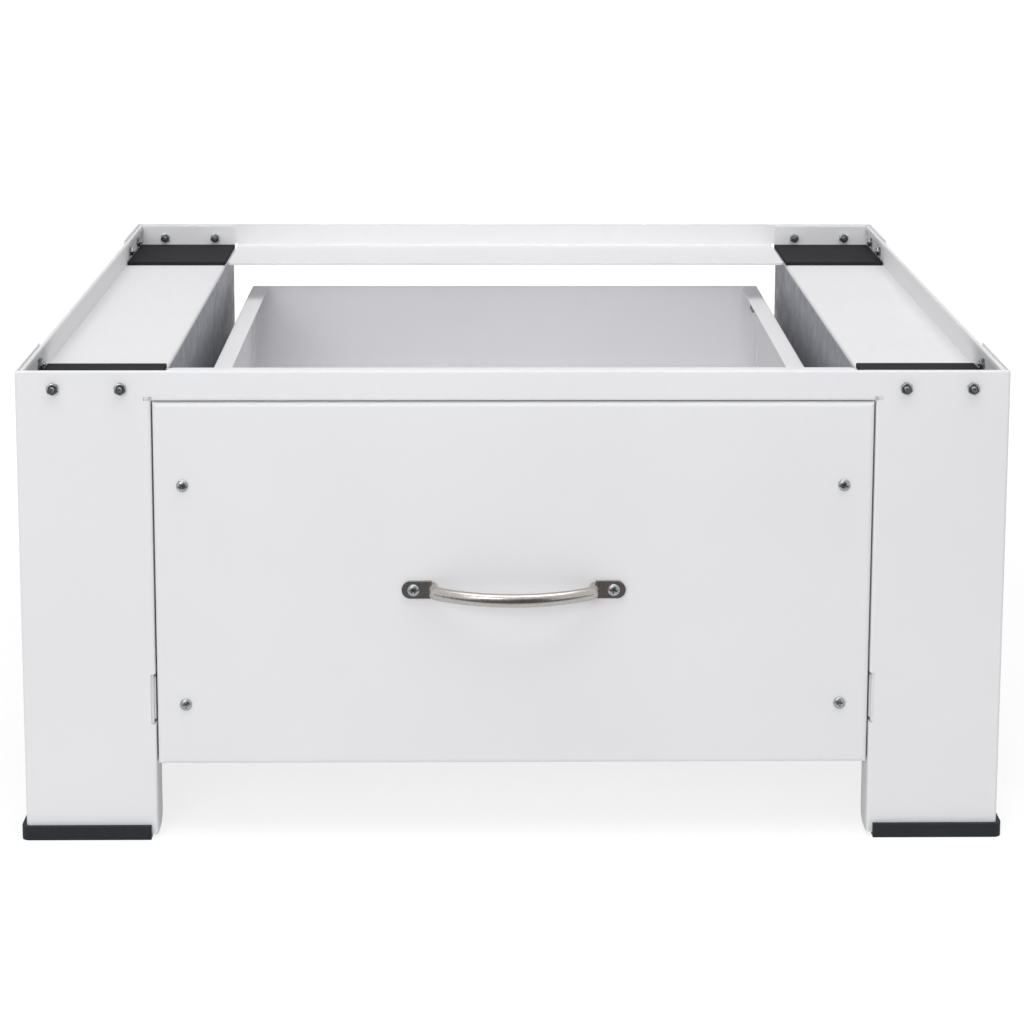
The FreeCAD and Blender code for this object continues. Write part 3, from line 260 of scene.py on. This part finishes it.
def moulded_rubber(name, light, dark, grain, rough):
    """A dull elastomer with a grain of a real width and slightly dusty patches."""
    material, tree, output = new_material(name)
    place = add(tree, "ShaderNodeTexCoord").outputs["Object"]
    pits = add(tree, "ShaderNodeTexNoise", {"Vector": place, "Scale": 1 / grain, "Detail": 2})
    skin = add(tree, "ShaderNodeBump", {"Height": pits.outputs["Fac"], "Strength": PIT_STRENGTH,
                                        "Distance": PIT_DEPTH})
    shader = add(tree, "ShaderNodeBsdfPrincipled", {
        "Base Color": cloudy(tree, place, DUST, 4, dark, light), "Roughness": rough,
        "IOR": RUBBER_IOR, "Specular IOR Level": RUBBER_SPECULAR, "Normal": skin.outputs["Normal"]})
    tree.links.new(shader.outputs["BSDF"], output.inputs["Surface"])
    return material


shoe_rubber = moulded_rubber("black_epdm_rubber", "#2E3136", "#26292D", 0.8 * MM, 0.6)
pad_rubber = moulded_rubber("soft_black_pad_rubber", "#2C2C2E", "#222224", 0.6 * MM, 0.9)
print("made", shoe_rubber.name, "and", pad_rubber.name)

# %% [markdown]
# ## Nylon
#
# The rollers are natural polyamide, moulded in one piece. It is a warm white that lets some light
# into its skin, so its edges glow a little, and its tread is polished by the rail.

# %% Nylon
MILKY = ("#E9E7DF", "#DEDBD0")
MILKY_WIDTH = 6 * MM
MARK_WIDTH, MARK_DEPTH = 1.2 * MM, 0.05 * MM
LIGHT_DEPTH = 1.5 * MM
NYLON_IOR = 1.53


def natural_nylon():
    """Milky white plastic with a faint turning mark round its tread."""
    material, tree, output = new_material("natural_nylon")
    place = add(tree, "ShaderNodeTexCoord").outputs["Object"]
    mark = add(tree, "ShaderNodeTexNoise", {"Vector": place, "Scale": 1 / MARK_WIDTH, "Detail": 1})
    skin = add(tree, "ShaderNodeBump", {"Height": mark.outputs["Fac"], "Strength": 0.1,
                                        "Distance": MARK_DEPTH})
    shader = add(tree, "ShaderNodeBsdfPrincipled", {
        "Base Color": cloudy(tree, place, MILKY_WIDTH, 2, *MILKY), "Roughness": 0.4,
        "IOR": NYLON_IOR, "Subsurface Weight": 0.15, "Subsurface Scale": LIGHT_DEPTH,
        "Normal": skin.outputs["Normal"]})
    tree.links.new(shader.outputs["BSDF"], output.inputs["Surface"])
    return material


nylon = natural_nylon()
print("made", nylon.name)

# %% [markdown]
# ## Zinc plate and satin nickel
#
# Both are metal, so the colour belongs to the reflection. The screws and nuts are zinc plated: a
# cool light grey, with small cloudy patches of different sheen from the plating bath. The handle
# is nickel plated and then brushed along its length. Brushing leaves hair lines, and they spread
# a highlight across the bar. The lines are noise stretched 40 times along X, the way the handle
# runs. Real ones are 0.05 mm wide, and these are 0.5 mm. A thin clear lacquer keeps fingers off
# the nickel. It is the shader's coat, and it adds a second, sharper glint above the brushed one.

# %% Metals
PATCHES = 3 * MM
LINE_STRENGTH = 0.2
LACQUER_ROUGHNESS = 0.12


def plated(name, tones, gloss, lines, depth, lacquer):
    """A plated metal: patches of tone and sheen, and lines of a width and a stretch along X."""
    material, tree, output = new_material(name)
    place = add(tree, "ShaderNodeTexCoord").outputs["Object"]
    width, stretch = lines
    drawn = add(tree, "ShaderNodeMapping", {"Vector": place, "Scale": (1 / stretch, 1, 1)})
    hairs = add(tree, "ShaderNodeTexNoise", {"Vector": drawn.outputs["Vector"], "Scale": 1 / width,
                                             "Detail": 2})
    roughness = add(tree, "ShaderNodeMapRange", {"Value": hairs.outputs["Fac"], "To Min": gloss[0],
                                                 "To Max": gloss[1]})
    skin = add(tree, "ShaderNodeBump", {"Height": hairs.outputs["Fac"], "Strength": LINE_STRENGTH,
                                        "Distance": depth})
    shader = add(tree, "ShaderNodeBsdfPrincipled", {
        "Base Color": cloudy(tree, place, PATCHES, 3, *tones), "Metallic": 1,
        "Roughness": roughness.outputs["Result"], "Normal": skin.outputs["Normal"],
        "Coat Weight": lacquer, "Coat Roughness": LACQUER_ROUGHNESS})
    tree.links.new(shader.outputs["BSDF"], output.inputs["Surface"])
    return material


zinc = plated("bright_zinc_plate", ("#B2B4B5", "#8E9092"), gloss=(0.2, 0.34),
              lines=(0.8 * MM, 1), depth=0.02 * MM, lacquer=0)
nickel = plated("brushed_satin_nickel", ("#B6B1AD", "#A39E9A"), gloss=(0.2, 0.32),
                lines=(0.5 * MM, 40), depth=0.015 * MM, lacquer=1)
print("made", zinc.name, "and", nickel.name)

# %% [markdown]
# ## Dressing the CAD pieces
#
# A sheet that CAD folded is already right, down to the radius of its bends, so it keeps its mesh
# and only its material changes. Each material goes to the pieces that have that finish, and the
# channels' material also carries the painted shade on their walls.

# %% Dress the pieces
FINISHES = [
    (white_coat, ("front_frame", "rear_frame", "side_panel_", "drawer_front", "drawer_tray",
                  "drawer_back")),
    # The channels get their coat with grey painted shade on the wall beside the drawer.
    (channel_coat_and_shade, ("side_channel_",)),
    (rail_coat, ("runner_fixed_left", "runner_fixed_right", "runner_drawer_left",
                 "runner_drawer_right")),
    (shoe_rubber, ("foot_",)),
    (pad_rubber, ("pad_",)),
    (nylon, ("roller_front_", "roller_rear_")),
    (zinc, ("roller_pin_",)),
    (nickel, ("handle",)),
]
for finish, starts in FINISHES:
    dressed = [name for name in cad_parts
               if name.startswith(starts) and not name.endswith(("bolts", "nuts"))]
    for name in dressed:
        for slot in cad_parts[name].material_slots:
            slot.material = finish
    print(finish.name, "on", len(dressed), "pieces")

# %% [markdown]
# ## Where the fasteners sit
#
# CAD holds each set of screws or nuts as one piece of several plain solids. The detailed ones
# have to sit exactly there, so their places are measured from those solids. A copy of the mesh is
# welded, split into its separate solids, and each gives its box.

# %% Find the solids of a piece
WELD = 0.001 * MM


def solids_of(name):
    """The (low, high) corners of each separate solid of a CAD piece."""
    mesh = bmesh.new()
    mesh.from_mesh(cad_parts[name].data)
    bmesh.ops.remove_doubles(mesh, verts=mesh.verts, dist=WELD)
    boxes, seen = [], set()
    for start in mesh.verts:
        if start in seen:
            continue
        group, front = [], [start]
        seen.add(start)
        while front:
            vert = front.pop()
            group.append(vert.co.copy())
            for edge in vert.link_edges:
                other = edge.other_vert(vert)
                if other not in seen:
                    seen.add(other)
                    front.append(other)
        boxes.append((Vector([min(p[i] for p in group) for i in range(3)]),
                      Vector([max(p[i] for p in group) for i in range(3)])))
    mesh.free()
    return boxes


print("front corner nuts:", len(solids_of("corner_front_nuts")))

# %% [markdown]
# ## A tree that makes nuts
#
# A hexagon nut repeats 26 times, so Geometry Nodes make it once and put it on every point. The
# tree starts from a six-sided prism. A blunt cone trims its corners, as the turned chamfer does
# on a real nut, a cylinder takes the bore out, and a second cone countersinks it. Every nut stops
# at its own angle when it is tightened. In the photograph those at the corners stand with a
# corner down, give or take a few degrees, so the random turn is small, and its seed is fixed. The
# inputs are the nut's real sizes.

# %% Inputs of a tree
def new_tree(name, inputs):
    """A Geometry Nodes tree with named inputs. Gives the tree, its inputs and its output node."""
    tree = bpy.data.node_groups.new(name, "GeometryNodeTree")
    tree.interface.new_socket("Geometry", in_out="INPUT", socket_type="NodeSocketGeometry")
    tree.interface.new_socket("Geometry", in_out="OUTPUT", socket_type="NodeSocketGeometry")
    for label, kind in inputs:
        tree.interface.new_socket(label, in_out="INPUT", socket_type=kind)
    return tree, tree.nodes.new("NodeGroupInput").outputs, tree.nodes.new("NodeGroupOutput")


def formula(tree, *terms):
    """A chain of sums: each term is (operation, left, or None for the last result, right)."""
    last = None
    for operation, left, second in terms:
        node = add(tree, "ShaderNodeMath", {0: last if left is None else left, 1: second},
                   operation=operation)
        last = node.outputs["Value"]
    return last


def lifted(tree, shape, height):
    """A shape moved along its own Z."""
    way = add(tree, "ShaderNodeCombineXYZ", {"Z": height}).outputs["Vector"]
    return add(tree, "GeometryNodeTransform", {"Geometry": shape,
                                               "Translation": way}).outputs["Geometry"]


def carved(tree, operation, shapes, block=None):
    """One closed shape: what the shapes share, or the block with them cut out of it."""
    node = add(tree, "GeometryNodeMeshBoolean", {} if block is None else {"Mesh 1": block},
               operation=operation, solver="EXACT")
    for shape in shapes:
        tree.links.new(shape, node.inputs["Mesh 2"])
    return node.outputs["Mesh"]


SHARP = math.radians(32)


def finish_tree(tree, given, output, shape):
    """Puts one copy of the shape on each point, turned, with sharp edges kept, as one mesh."""
    least = formula(tree, ("SUBTRACT", given["Spin"], given["Play"]))
    most = formula(tree, ("ADD", given["Spin"], given["Play"]))
    spin = add(tree, "FunctionNodeRandomValue", {2: least, 3: most, "Seed": given["Seed"]},
               data_type="FLOAT")
    turn = add(tree, "FunctionNodeAxisAngleToRotation", {"Axis": (0, 0, 1),
                                                         "Angle": spin.outputs[1]})
    facing = add(tree, "FunctionNodeEulerToRotation", {"Euler": given["Facing"]})
    both = add(tree, "FunctionNodeRotateRotation", {"Rotation": facing.outputs["Rotation"],
                                                    "Rotate By": turn.outputs["Rotation"]},
               rotation_space="LOCAL")
    soft = add(tree, "GeometryNodeSetShadeSmooth", {"Geometry": shape, "Shade Smooth": True},
               domain="FACE")
    bend = add(tree, "GeometryNodeInputMeshEdgeAngle")
    sharp = add(tree, "FunctionNodeCompare", {"A": bend.outputs["Unsigned Angle"], "B": SHARP},
                data_type="FLOAT", operation="GREATER_THAN")
    crisp = add(tree, "GeometryNodeSetShadeSmooth", {"Geometry": soft.outputs["Geometry"],
                                                     "Selection": sharp.outputs["Result"],
                                                     "Shade Smooth": False}, domain="EDGE")
    copies = add(tree, "GeometryNodeInstanceOnPoints", {"Points": given["Geometry"],
                                                        "Instance": crisp.outputs["Geometry"],
                                                        "Rotation": both.outputs["Rotation"]})
    real = add(tree, "GeometryNodeRealizeInstances", {"Geometry": copies.outputs["Instances"]})
    painted = add(tree, "GeometryNodeSetMaterial", {"Geometry": real.outputs["Geometry"],
                                                    "Material": given["Metal"]})
    tree.links.new(painted.outputs["Geometry"], output.inputs["Geometry"])
    print("tree", tree.name, "has", len(tree.nodes), "nodes")
    return tree


PLACING = [("Facing", "NodeSocketVector"), ("Spin", "NodeSocketFloat"), ("Play", "NodeSocketFloat"),
           ("Seed", "NodeSocketInt"), ("Metal", "NodeSocketMaterial")]

# %% The nut
# Shares of the width across flats (the round top face) and of the bore (the countersink).
ROUND_FACE, SINK_WIDTH, SINK_LIFT = 0.95, 0.62, -0.6


def nut_tree():
    """A hexagon nut that stands on its point and looks along its own Z."""
    tree, given, output = new_tree("hexagon_nuts", [("Flats", "NodeSocketFloat"),
                                                    ("Height", "NodeSocketFloat"),
                                                    ("Bore", "NodeSocketFloat")] + PLACING)
    flats, height, bore = given["Flats"], given["Height"], given["Bore"]
    prism = add(tree, "GeometryNodeMeshCylinder", {
        "Vertices": 6, "Radius": formula(tree, ("DIVIDE", flats, math.sqrt(3))), "Depth": height})
    prism = lifted(tree, prism.outputs["Mesh"], formula(tree, ("MULTIPLY", height, 0.5)))
    # The chamfer leaves a round top face and falls away at 30 degrees.
    rim = formula(tree, ("MULTIPLY", flats, ROUND_FACE / 2))
    chamfer = add(tree, "GeometryNodeMeshCone", {
        "Vertices": 36, "Radius Top": rim, "Depth": height,
        "Radius Bottom": formula(tree, ("MULTIPLY", height, math.sqrt(3)), ("ADD", None, rim))})
    body = carved(tree, "INTERSECT", (prism, chamfer.outputs["Mesh"]))

    drill = add(tree, "GeometryNodeMeshCylinder", {
        "Vertices": 24, "Radius": formula(tree, ("MULTIPLY", bore, 0.5)),
        "Depth": formula(tree, ("MULTIPLY", height, 3))})
    sink_size = formula(tree, ("MULTIPLY", bore, SINK_WIDTH))
    sink = add(tree, "GeometryNodeMeshCone", {"Vertices": 24, "Radius Bottom": 0,
                                              "Radius Top": sink_size, "Depth": sink_size})
    sink = lifted(tree, sink.outputs["Mesh"],
                  formula(tree, ("MULTIPLY", bore, SINK_LIFT), ("ADD", None, height)))
    bored = carved(tree, "DIFFERENCE", (drill.outputs["Mesh"], sink), body)
    return finish_tree(tree, given, output, bored)


nuts = nut_tree()

# %% [markdown]
# ## A tree that makes screws
#
# Screws, bolts and self-tapping screws share one form: a domed head with a cross recess, a shank
# and a thread. The head is a flattened ball cut by a cylinder, and the recess is two crossed
# wedges with a small cone where they meet. The thread is a real helix: a triangle carried along a
# spiral. Its pitch is a tenth coarser than in life, so that the turns can be told apart in a
# close view.

# %% The screw
# Shares of the head's width: the ball, a blade's length and thickness, and the cone between them.
BALL, BLADE_LONG, BLADE_THIN, CROSS = 0.5455, 0.54, 0.115, 0.3
# Shares of the dome's height: the recess's depth and the cone's lift.
RECESS, CROSS_LIFT = 1.3, 0.35
# Shares of the shank's width: the core and the thread's ridge. The tip is a share of the core.
CORE, RIDGE, TIP = 0.42, 0.08, 0.7


def screw_tree():
    """A screw whose head sits on its point and looks along its own Z, with the shank below."""
    names = ("Head", "Dome", "Shank", "Length", "Pitch")
    tree, given, output = new_tree("cross_head_screws",
                                   [(name, "NodeSocketFloat") for name in names] + PLACING)
    head, dome, shank, length, pitch = (given[name] for name in names)
    wide = formula(tree, ("MULTIPLY", head, BALL))
    ball = add(tree, "GeometryNodeMeshUVSphere", {"Segments": 32, "Rings": 16, "Radius": 1})
    flat = add(tree, "ShaderNodeCombineXYZ", {"X": wide, "Y": wide, "Z": dome})
    ball = add(tree, "GeometryNodeTransform", {"Geometry": ball.outputs["Mesh"],
                                               "Scale": flat.outputs["Vector"]})
    disc = add(tree, "GeometryNodeMeshCylinder", {
        "Vertices": 32, "Radius": formula(tree, ("MULTIPLY", head, 0.5)),
        "Depth": formula(tree, ("MULTIPLY", dome, 2))})
    cap = carved(tree, "INTERSECT", (ball.outputs["Geometry"],
                                     lifted(tree, disc.outputs["Mesh"], dome)))

    # The recess: two blades, and a cone that widens it where they cross.
    long, thin = (formula(tree, ("MULTIPLY", head, share)) for share in (BLADE_LONG, BLADE_THIN))
    deep = formula(tree, ("MULTIPLY", dome, RECESS))
    cuts = []
    for x, y in ((long, thin), (thin, long)):
        size = add(tree, "ShaderNodeCombineXYZ", {"X": x, "Y": y, "Z": deep})
        blade = add(tree, "GeometryNodeMeshCube", {"Size": size.outputs["Vector"]})
        cuts.append(lifted(tree, blade.outputs["Mesh"], dome))
    point = add(tree, "GeometryNodeMeshCone", {
        "Vertices": 8, "Radius Bottom": 0, "Depth": deep,
        "Radius Top": formula(tree, ("MULTIPLY", head, CROSS))})
    cuts.append(lifted(tree, point.outputs["Mesh"], formula(tree, ("MULTIPLY", dome, CROSS_LIFT))))
    driven = carved(tree, "DIFFERENCE", cuts, cap)

    # The shank is the thread's core, and its end is chamfered by a short cone.
    core = formula(tree, ("MULTIPLY", shank, CORE))
    straight = formula(tree, ("SUBTRACT", length, pitch))
    rod = add(tree, "GeometryNodeMeshCylinder", {"Vertices": 20, "Radius": core, "Depth": straight})
    rod = lifted(tree, rod.outputs["Mesh"], formula(tree, ("MULTIPLY", straight, -0.5)))
    tip = add(tree, "GeometryNodeMeshCone", {
        "Vertices": 20, "Radius Top": core, "Depth": pitch,
        "Radius Bottom": formula(tree, ("MULTIPLY", core, TIP))})
    tip = lifted(tree, tip.outputs["Mesh"], formula(tree, ("MULTIPLY", length, -1)))
    threaded = formula(tree, ("SUBTRACT", straight, pitch))
    spiral = add(tree, "GeometryNodeCurveSpiral", {
        "Resolution": 16, "Rotations": formula(tree, ("DIVIDE", threaded, pitch)),
        "Start Radius": core, "End Radius": core,
        "Height": formula(tree, ("MULTIPLY", threaded, -1))})
    path = lifted(tree, spiral.outputs["Curve"], formula(tree, ("MULTIPLY", pitch, -0.5)))
    ridge = add(tree, "GeometryNodeCurvePrimitiveCircle", {
        "Resolution": 3, "Radius": formula(tree, ("MULTIPLY", shank, RIDGE))})
    thread = add(tree, "GeometryNodeCurveToMesh", {
        "Curve": path, "Profile Curve": ridge.outputs["Curve"], "Fill Caps": True})
    whole = add(tree, "GeometryNodeJoinGeometry")
    for part in (thread.outputs["Mesh"], tip, rod, driven):
        tree.links.new(part, whole.inputs["Geometry"])
    return finish_tree(tree, given, output, whole.outputs["Geometry"])


screws = screw_tree()

# %% [markdown]
# ## Putting the fasteners on
#
# Each row below is one set: the CAD piece it stands for, the body it moves with, the way it faces
# and its sizes in millimetres. The points go on the face that the head or nut rests on. The
# modifier's inputs are set by the identifier of each socket before anything is evaluated. The
# result is then made a plain mesh, because instances and live modifiers don't survive an export.

# %% Fasten
FACING = {"+X": (0, math.pi / 2, 0), "-X": (0, -math.pi / 2, 0),
          "+Y": (-math.pi / 2, 0, 0), "-Y": (math.pi / 2, 0, 0)}


def seat_points(name, way, beyond):
    """Points on the face that the fastener rests on, a given length below its outer end."""
    axis, sign = "XYZ".index(way[1]), 1 if way[0] == "+" else -1
    points = []
    for low, high in solids_of(name):
        point = (low + high) / 2
        point[axis] = (high if sign > 0 else low)[axis] - sign * beyond
        points.append(point)
    return points


def fasten(name, body, tree, way, points, spin, play, seed, **sizes):
    """One set of fasteners as one plain mesh that stands for its CAD piece."""
    mesh = bpy.data.meshes.new(f"{name}_points")
    mesh.from_pydata([tuple(p) for p in points], [], [])
    base = bpy.data.objects.new(f"{name}_points", mesh)
    bpy.context.scene.collection.objects.link(base)
    modifier = base.modifiers.new("fasteners", "NODES")
    modifier.node_group = tree
    values = dict(sizes, Facing=FACING[way], Spin=math.radians(spin), Play=math.radians(play),
                  Seed=seed, Metal=zinc)
    for item in tree.interface.items_tree:
        if item.in_out == "INPUT" and item.name in values:
            modifier[item.identifier] = values[item.name]
    bpy.context.view_layer.update()
    graph = bpy.context.evaluated_depsgraph_get()
    made = bpy.data.meshes.new_from_object(base.evaluated_get(graph))
    bpy.data.objects.remove(base)
    piece = bpy.data.objects.new(f"{name}_detailed", made)
    bpy.context.scene.collection.objects.link(piece)
    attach(piece, body)
    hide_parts(name)
    print(name, len(points), "pieces,", len(made.polygons), "faces")


# In degrees: how far a nut's turn varies either way, the screws' middle turn, and how far it varies.
NUT_PLAY, SCREW_TURN, SCREW_PLAY = 9, 35, 40

# Name, body, way it faces, turn in degrees, flats, height and bore.
NUTS = [
    ("corner_front_nuts", "pedestal", "-Y", 30, 7, 3.2, 4),
    ("corner_rear_nuts", "pedestal", "-Y", 30, 7, 3.2, 4),
    ("corner_left_nuts", "pedestal", "+X", 90, 7, 3.2, 4),
    ("corner_right_nuts", "pedestal", "-X", 90, 7, 3.2, 4),
    ("drawer_back_left_nuts", "drawer", "+X", 90, 8, 4, 5),
    ("drawer_back_right_nuts", "drawer", "-X", 90, 8, 4, 5),
    ("drawer_front_nuts", "drawer", "+Y", 0, 7, 3.2, 4),
    ("handle_nuts", "drawer", "+Y", 0, 7, 3.2, 4),
]
for seed, (name, body, way, spin, flats, height, bore) in enumerate(NUTS):
    fasten(name, body, nuts, way, seat_points(name, way, height * MM), spin, NUT_PLAY, seed,
           Flats=flats * MM, Height=height * MM, Bore=bore * MM)

# Name, body, way the head faces, head, dome, shank and pitch.
SCREWS = [
    ("corner_front_bolts", "pedestal", "+Y", 7.7, 2.2, 3.9, 0.77),
    ("corner_rear_bolts", "pedestal", "+Y", 7.7, 2.2, 3.9, 0.77),
    ("corner_left_bolts", "pedestal", "-X", 7.7, 2.2, 3.9, 0.77),
    ("corner_right_bolts", "pedestal", "+X", 7.7, 2.2, 3.9, 0.77),
    ("drawer_front_bolts", "drawer", "-Y", 7.7, 2.2, 3.9, 0.77),
    ("handle_bolts", "drawer", "-Y", 7.7, 2.2, 3.9, 0.77),
    ("drawer_back_left_bolts", "drawer", "-X", 9, 1.8, 4.9, 0.88),
    ("drawer_back_right_bolts", "drawer", "+X", 9, 1.8, 4.9, 0.88),
    ("runner_fixed_screws_left", "pedestal", "+X", 7.5, 1.4, 3.9, 1.4),
    ("runner_fixed_screws_right", "pedestal", "-X", 7.5, 1.4, 3.9, 1.4),
    ("runner_drawer_screws_left", "drawer", "-X", 7.5, 1.4, 3.9, 1.4),
    ("runner_drawer_screws_right", "drawer", "+X", 7.5, 1.4, 3.9, 1.4),
]
for seed, (name, body, way, head, dome, shank, pitch) in enumerate(SCREWS):
    low, high = solids_of(name)[0]
    axis = "XYZ".index(way[1])
    fasten(name, body, screws, way, seat_points(name, way, dome * MM), SCREW_TURN, SCREW_PLAY,
           seed, Head=head * MM, Dome=dome * MM, Shank=shank * MM, Pitch=pitch * MM,
           Length=(high - low)[axis] - (dome + 0.5 * pitch) * MM)

# %% [markdown]
# ## Floor and light
#
# The photograph was taken on white paper in a soft studio, and its background is pure white with
# only a trace of shadow. The floor gets there without extra light on the object: to the camera it
# adds a little glow of its own to its paper white, so it reads as white and still keeps a faint
# shadow. Every other ray meets plain white paper.

# %% Floor
def seen_directly(tree):
    """1 for a ray from the camera, from a reflection or through glass, and 0 for any other."""
    ray = add(tree, "ShaderNodeLightPath")
    mirror = add(tree, "ShaderNodeMath", {0: ray.outputs["Is Camera Ray"],
                                          1: ray.outputs["Is Glossy Ray"]}, operation="MAXIMUM")
    seen = add(tree, "ShaderNodeMath", {0: mirror.outputs["Value"],
                                        1: ray.outputs["Is Transmission Ray"]},
               operation="MAXIMUM")
    return seen.outputs["Value"]


PAPER = ("#EFEFEF", "#EDEDED")
FIBRE = 40 * MM
FAINT = 0.26
GLOW_NEAR, FADE_START, FADE_END = 0.8, 0.5, 1.6


def white_paper():
    """Paper that the camera sees as white, with a pale shadow."""
    material, tree, output = new_material("white_studio_paper")
    place = add(tree, "ShaderNodeTexCoord").outputs["Object"]
    paper = add(tree, "ShaderNodeBsdfDiffuse", {"Color": cloudy(tree, place, FIBRE, 2, *PAPER)})
    faint = add(tree, "ShaderNodeBsdfDiffuse", {"Color": (FAINT, FAINT, FAINT, 1)})
    # The glow is painted light: weaker near the object, so that its shadow shows, and full from 1.6
    # m out, so that the far paper stays white.
    away = add(tree, "ShaderNodeVectorMath", {0: place}, operation="LENGTH")
    fade = add(tree, "ShaderNodeMapRange", {"Value": away.outputs["Value"],
                                            "From Min": FADE_START, "From Max": FADE_END,
                                            "To Min": GLOW_NEAR, "To Max": 1})
    glow = add(tree, "ShaderNodeEmission", {"Color": (1, 1, 1, 1),
                                            "Strength": fade.outputs["Result"]})
    shown = add(tree, "ShaderNodeAddShader", {0: faint.outputs["BSDF"],
                                              1: glow.outputs["Emission"]})
    either = add(tree, "ShaderNodeMixShader", {"Fac": seen_directly(tree),
                                               1: paper.outputs["BSDF"],
                                               2: shown.outputs["Shader"]})
    tree.links.new(either.outputs["Shader"], output.inputs["Surface"])
    return material


def studio_piece(name, points, faces, material):
    """A flat piece of the studio."""
    mesh = bpy.data.meshes.new(name)
    mesh.from_pydata(points, [], faces)
    mesh.materials.append(material)
    piece = bpy.data.objects.new(name, mesh)
    bpy.context.scene.collection.objects.link(piece)
    return piece


HALF = 12
floor = studio_piece("floor", [(-HALF, -HALF, 0), (HALF, -HALF, 0), (HALF, HALF, 0),
                               (-HALF, HALF, 0)], [(0, 1, 2, 3)], white_paper())
print("floor", 2 * HALF, "m wide")

# %% [markdown]
# The light is one big soft box overhead and a smaller one in front, and the world adds a low even
# fill. The sheets that face up and forward are bright, and the walls beside the drawer, which
# face sideways, fall to grey under it, and further through the painted shade on them. A third
# lamp is small and weak and has a grid, which keeps its light within 10 degrees. It shines over
# the front rail onto the back of the drawer, which lies deep between the other sheets and would
# look dull without it.
#
# To the camera and in reflections the world is plain white. Black card is the usual trick for
# metal: without it the handle would mirror nothing but white and lose its form. One sheet lies on
# the floor in front and a second stands behind it, and only reflections see them. Card is never
# quite black under studio light, so it is a dark grey here.

# %% World and lamps
FILL = 0.43

world = bpy.data.worlds.new("studio")
bpy.context.scene.world = world
world.use_nodes = True
sky = world.node_tree
sky.nodes.clear()
strength = add(sky, "ShaderNodeMapRange", {"Value": seen_directly(sky), "To Min": FILL,
                                           "To Max": 1})
light = add(sky, "ShaderNodeBackground", {"Color": (1, 1, 1, 1),
                                          "Strength": strength.outputs["Result"]})
add(sky, "ShaderNodeOutputWorld", {"Surface": light.outputs["Background"]})


def soft_box(name, place, target, size, power, grid):
    """An area lamp that looks at a target, with a grid that keeps its light within an angle."""
    lamp = bpy.data.lights.new(name, "AREA")
    lamp.shape, lamp.size, lamp.size_y, lamp.energy = "RECTANGLE", size[0], size[1], power
    lamp.spread = math.radians(grid)
    piece = bpy.data.objects.new(name, lamp)
    bpy.context.scene.collection.objects.link(piece)
    piece.location = place
    piece.rotation_euler = (Vector(target) - Vector(place)).to_track_quat("-Z", "Y").to_euler()


# Name, place, target and size in metres, power in watts, and the grid's angle in degrees.
LAMPS = [
    ("overhead", (0.1, -0.9, 2.9), (0, 0, 0.2), (3.2, 1.6), 42, 180),
    ("front", (-1.0, -2.8, 1.4), (0, 0, 0.15), (1.1, 1.1), 20, 180),
    ("gridded", (0, -2.0, 1.35), (0, 0.24, 0.225), (0.5, 0.16), 0.05, 10),
]
for lamp in LAMPS:
    soft_box(*lamp)
print("lamps", [name for name, *_ in LAMPS])

# %% Black card
CARD_HALF, CARD_NEAR, CARD_FAR, CARD_LIFT, CARD_TOP = 0.9, -0.5, -1.9, 0.004, 0.95
CARD_GREY = 0.15

card_material, tree, output = new_material("black_card")
matt = add(tree, "ShaderNodeBsdfDiffuse", {"Color": (CARD_GREY, CARD_GREY, CARD_GREY, 1)})
tree.links.new(matt.outputs["BSDF"], output.inputs["Surface"])
card_edges = [(CARD_NEAR, CARD_LIFT), (CARD_FAR, CARD_LIFT), (CARD_FAR, CARD_TOP)]
card_points = [(x, y, z) for y, z in card_edges for x in (-CARD_HALF, CARD_HALF)]
card = studio_piece("black_card", card_points, [(0, 1, 3, 2), (2, 3, 5, 4)], card_material)
card.visible_camera = card.visible_diffuse = False
card.visible_shadow = card.visible_transmission = False
print("black card on the floor and upright")
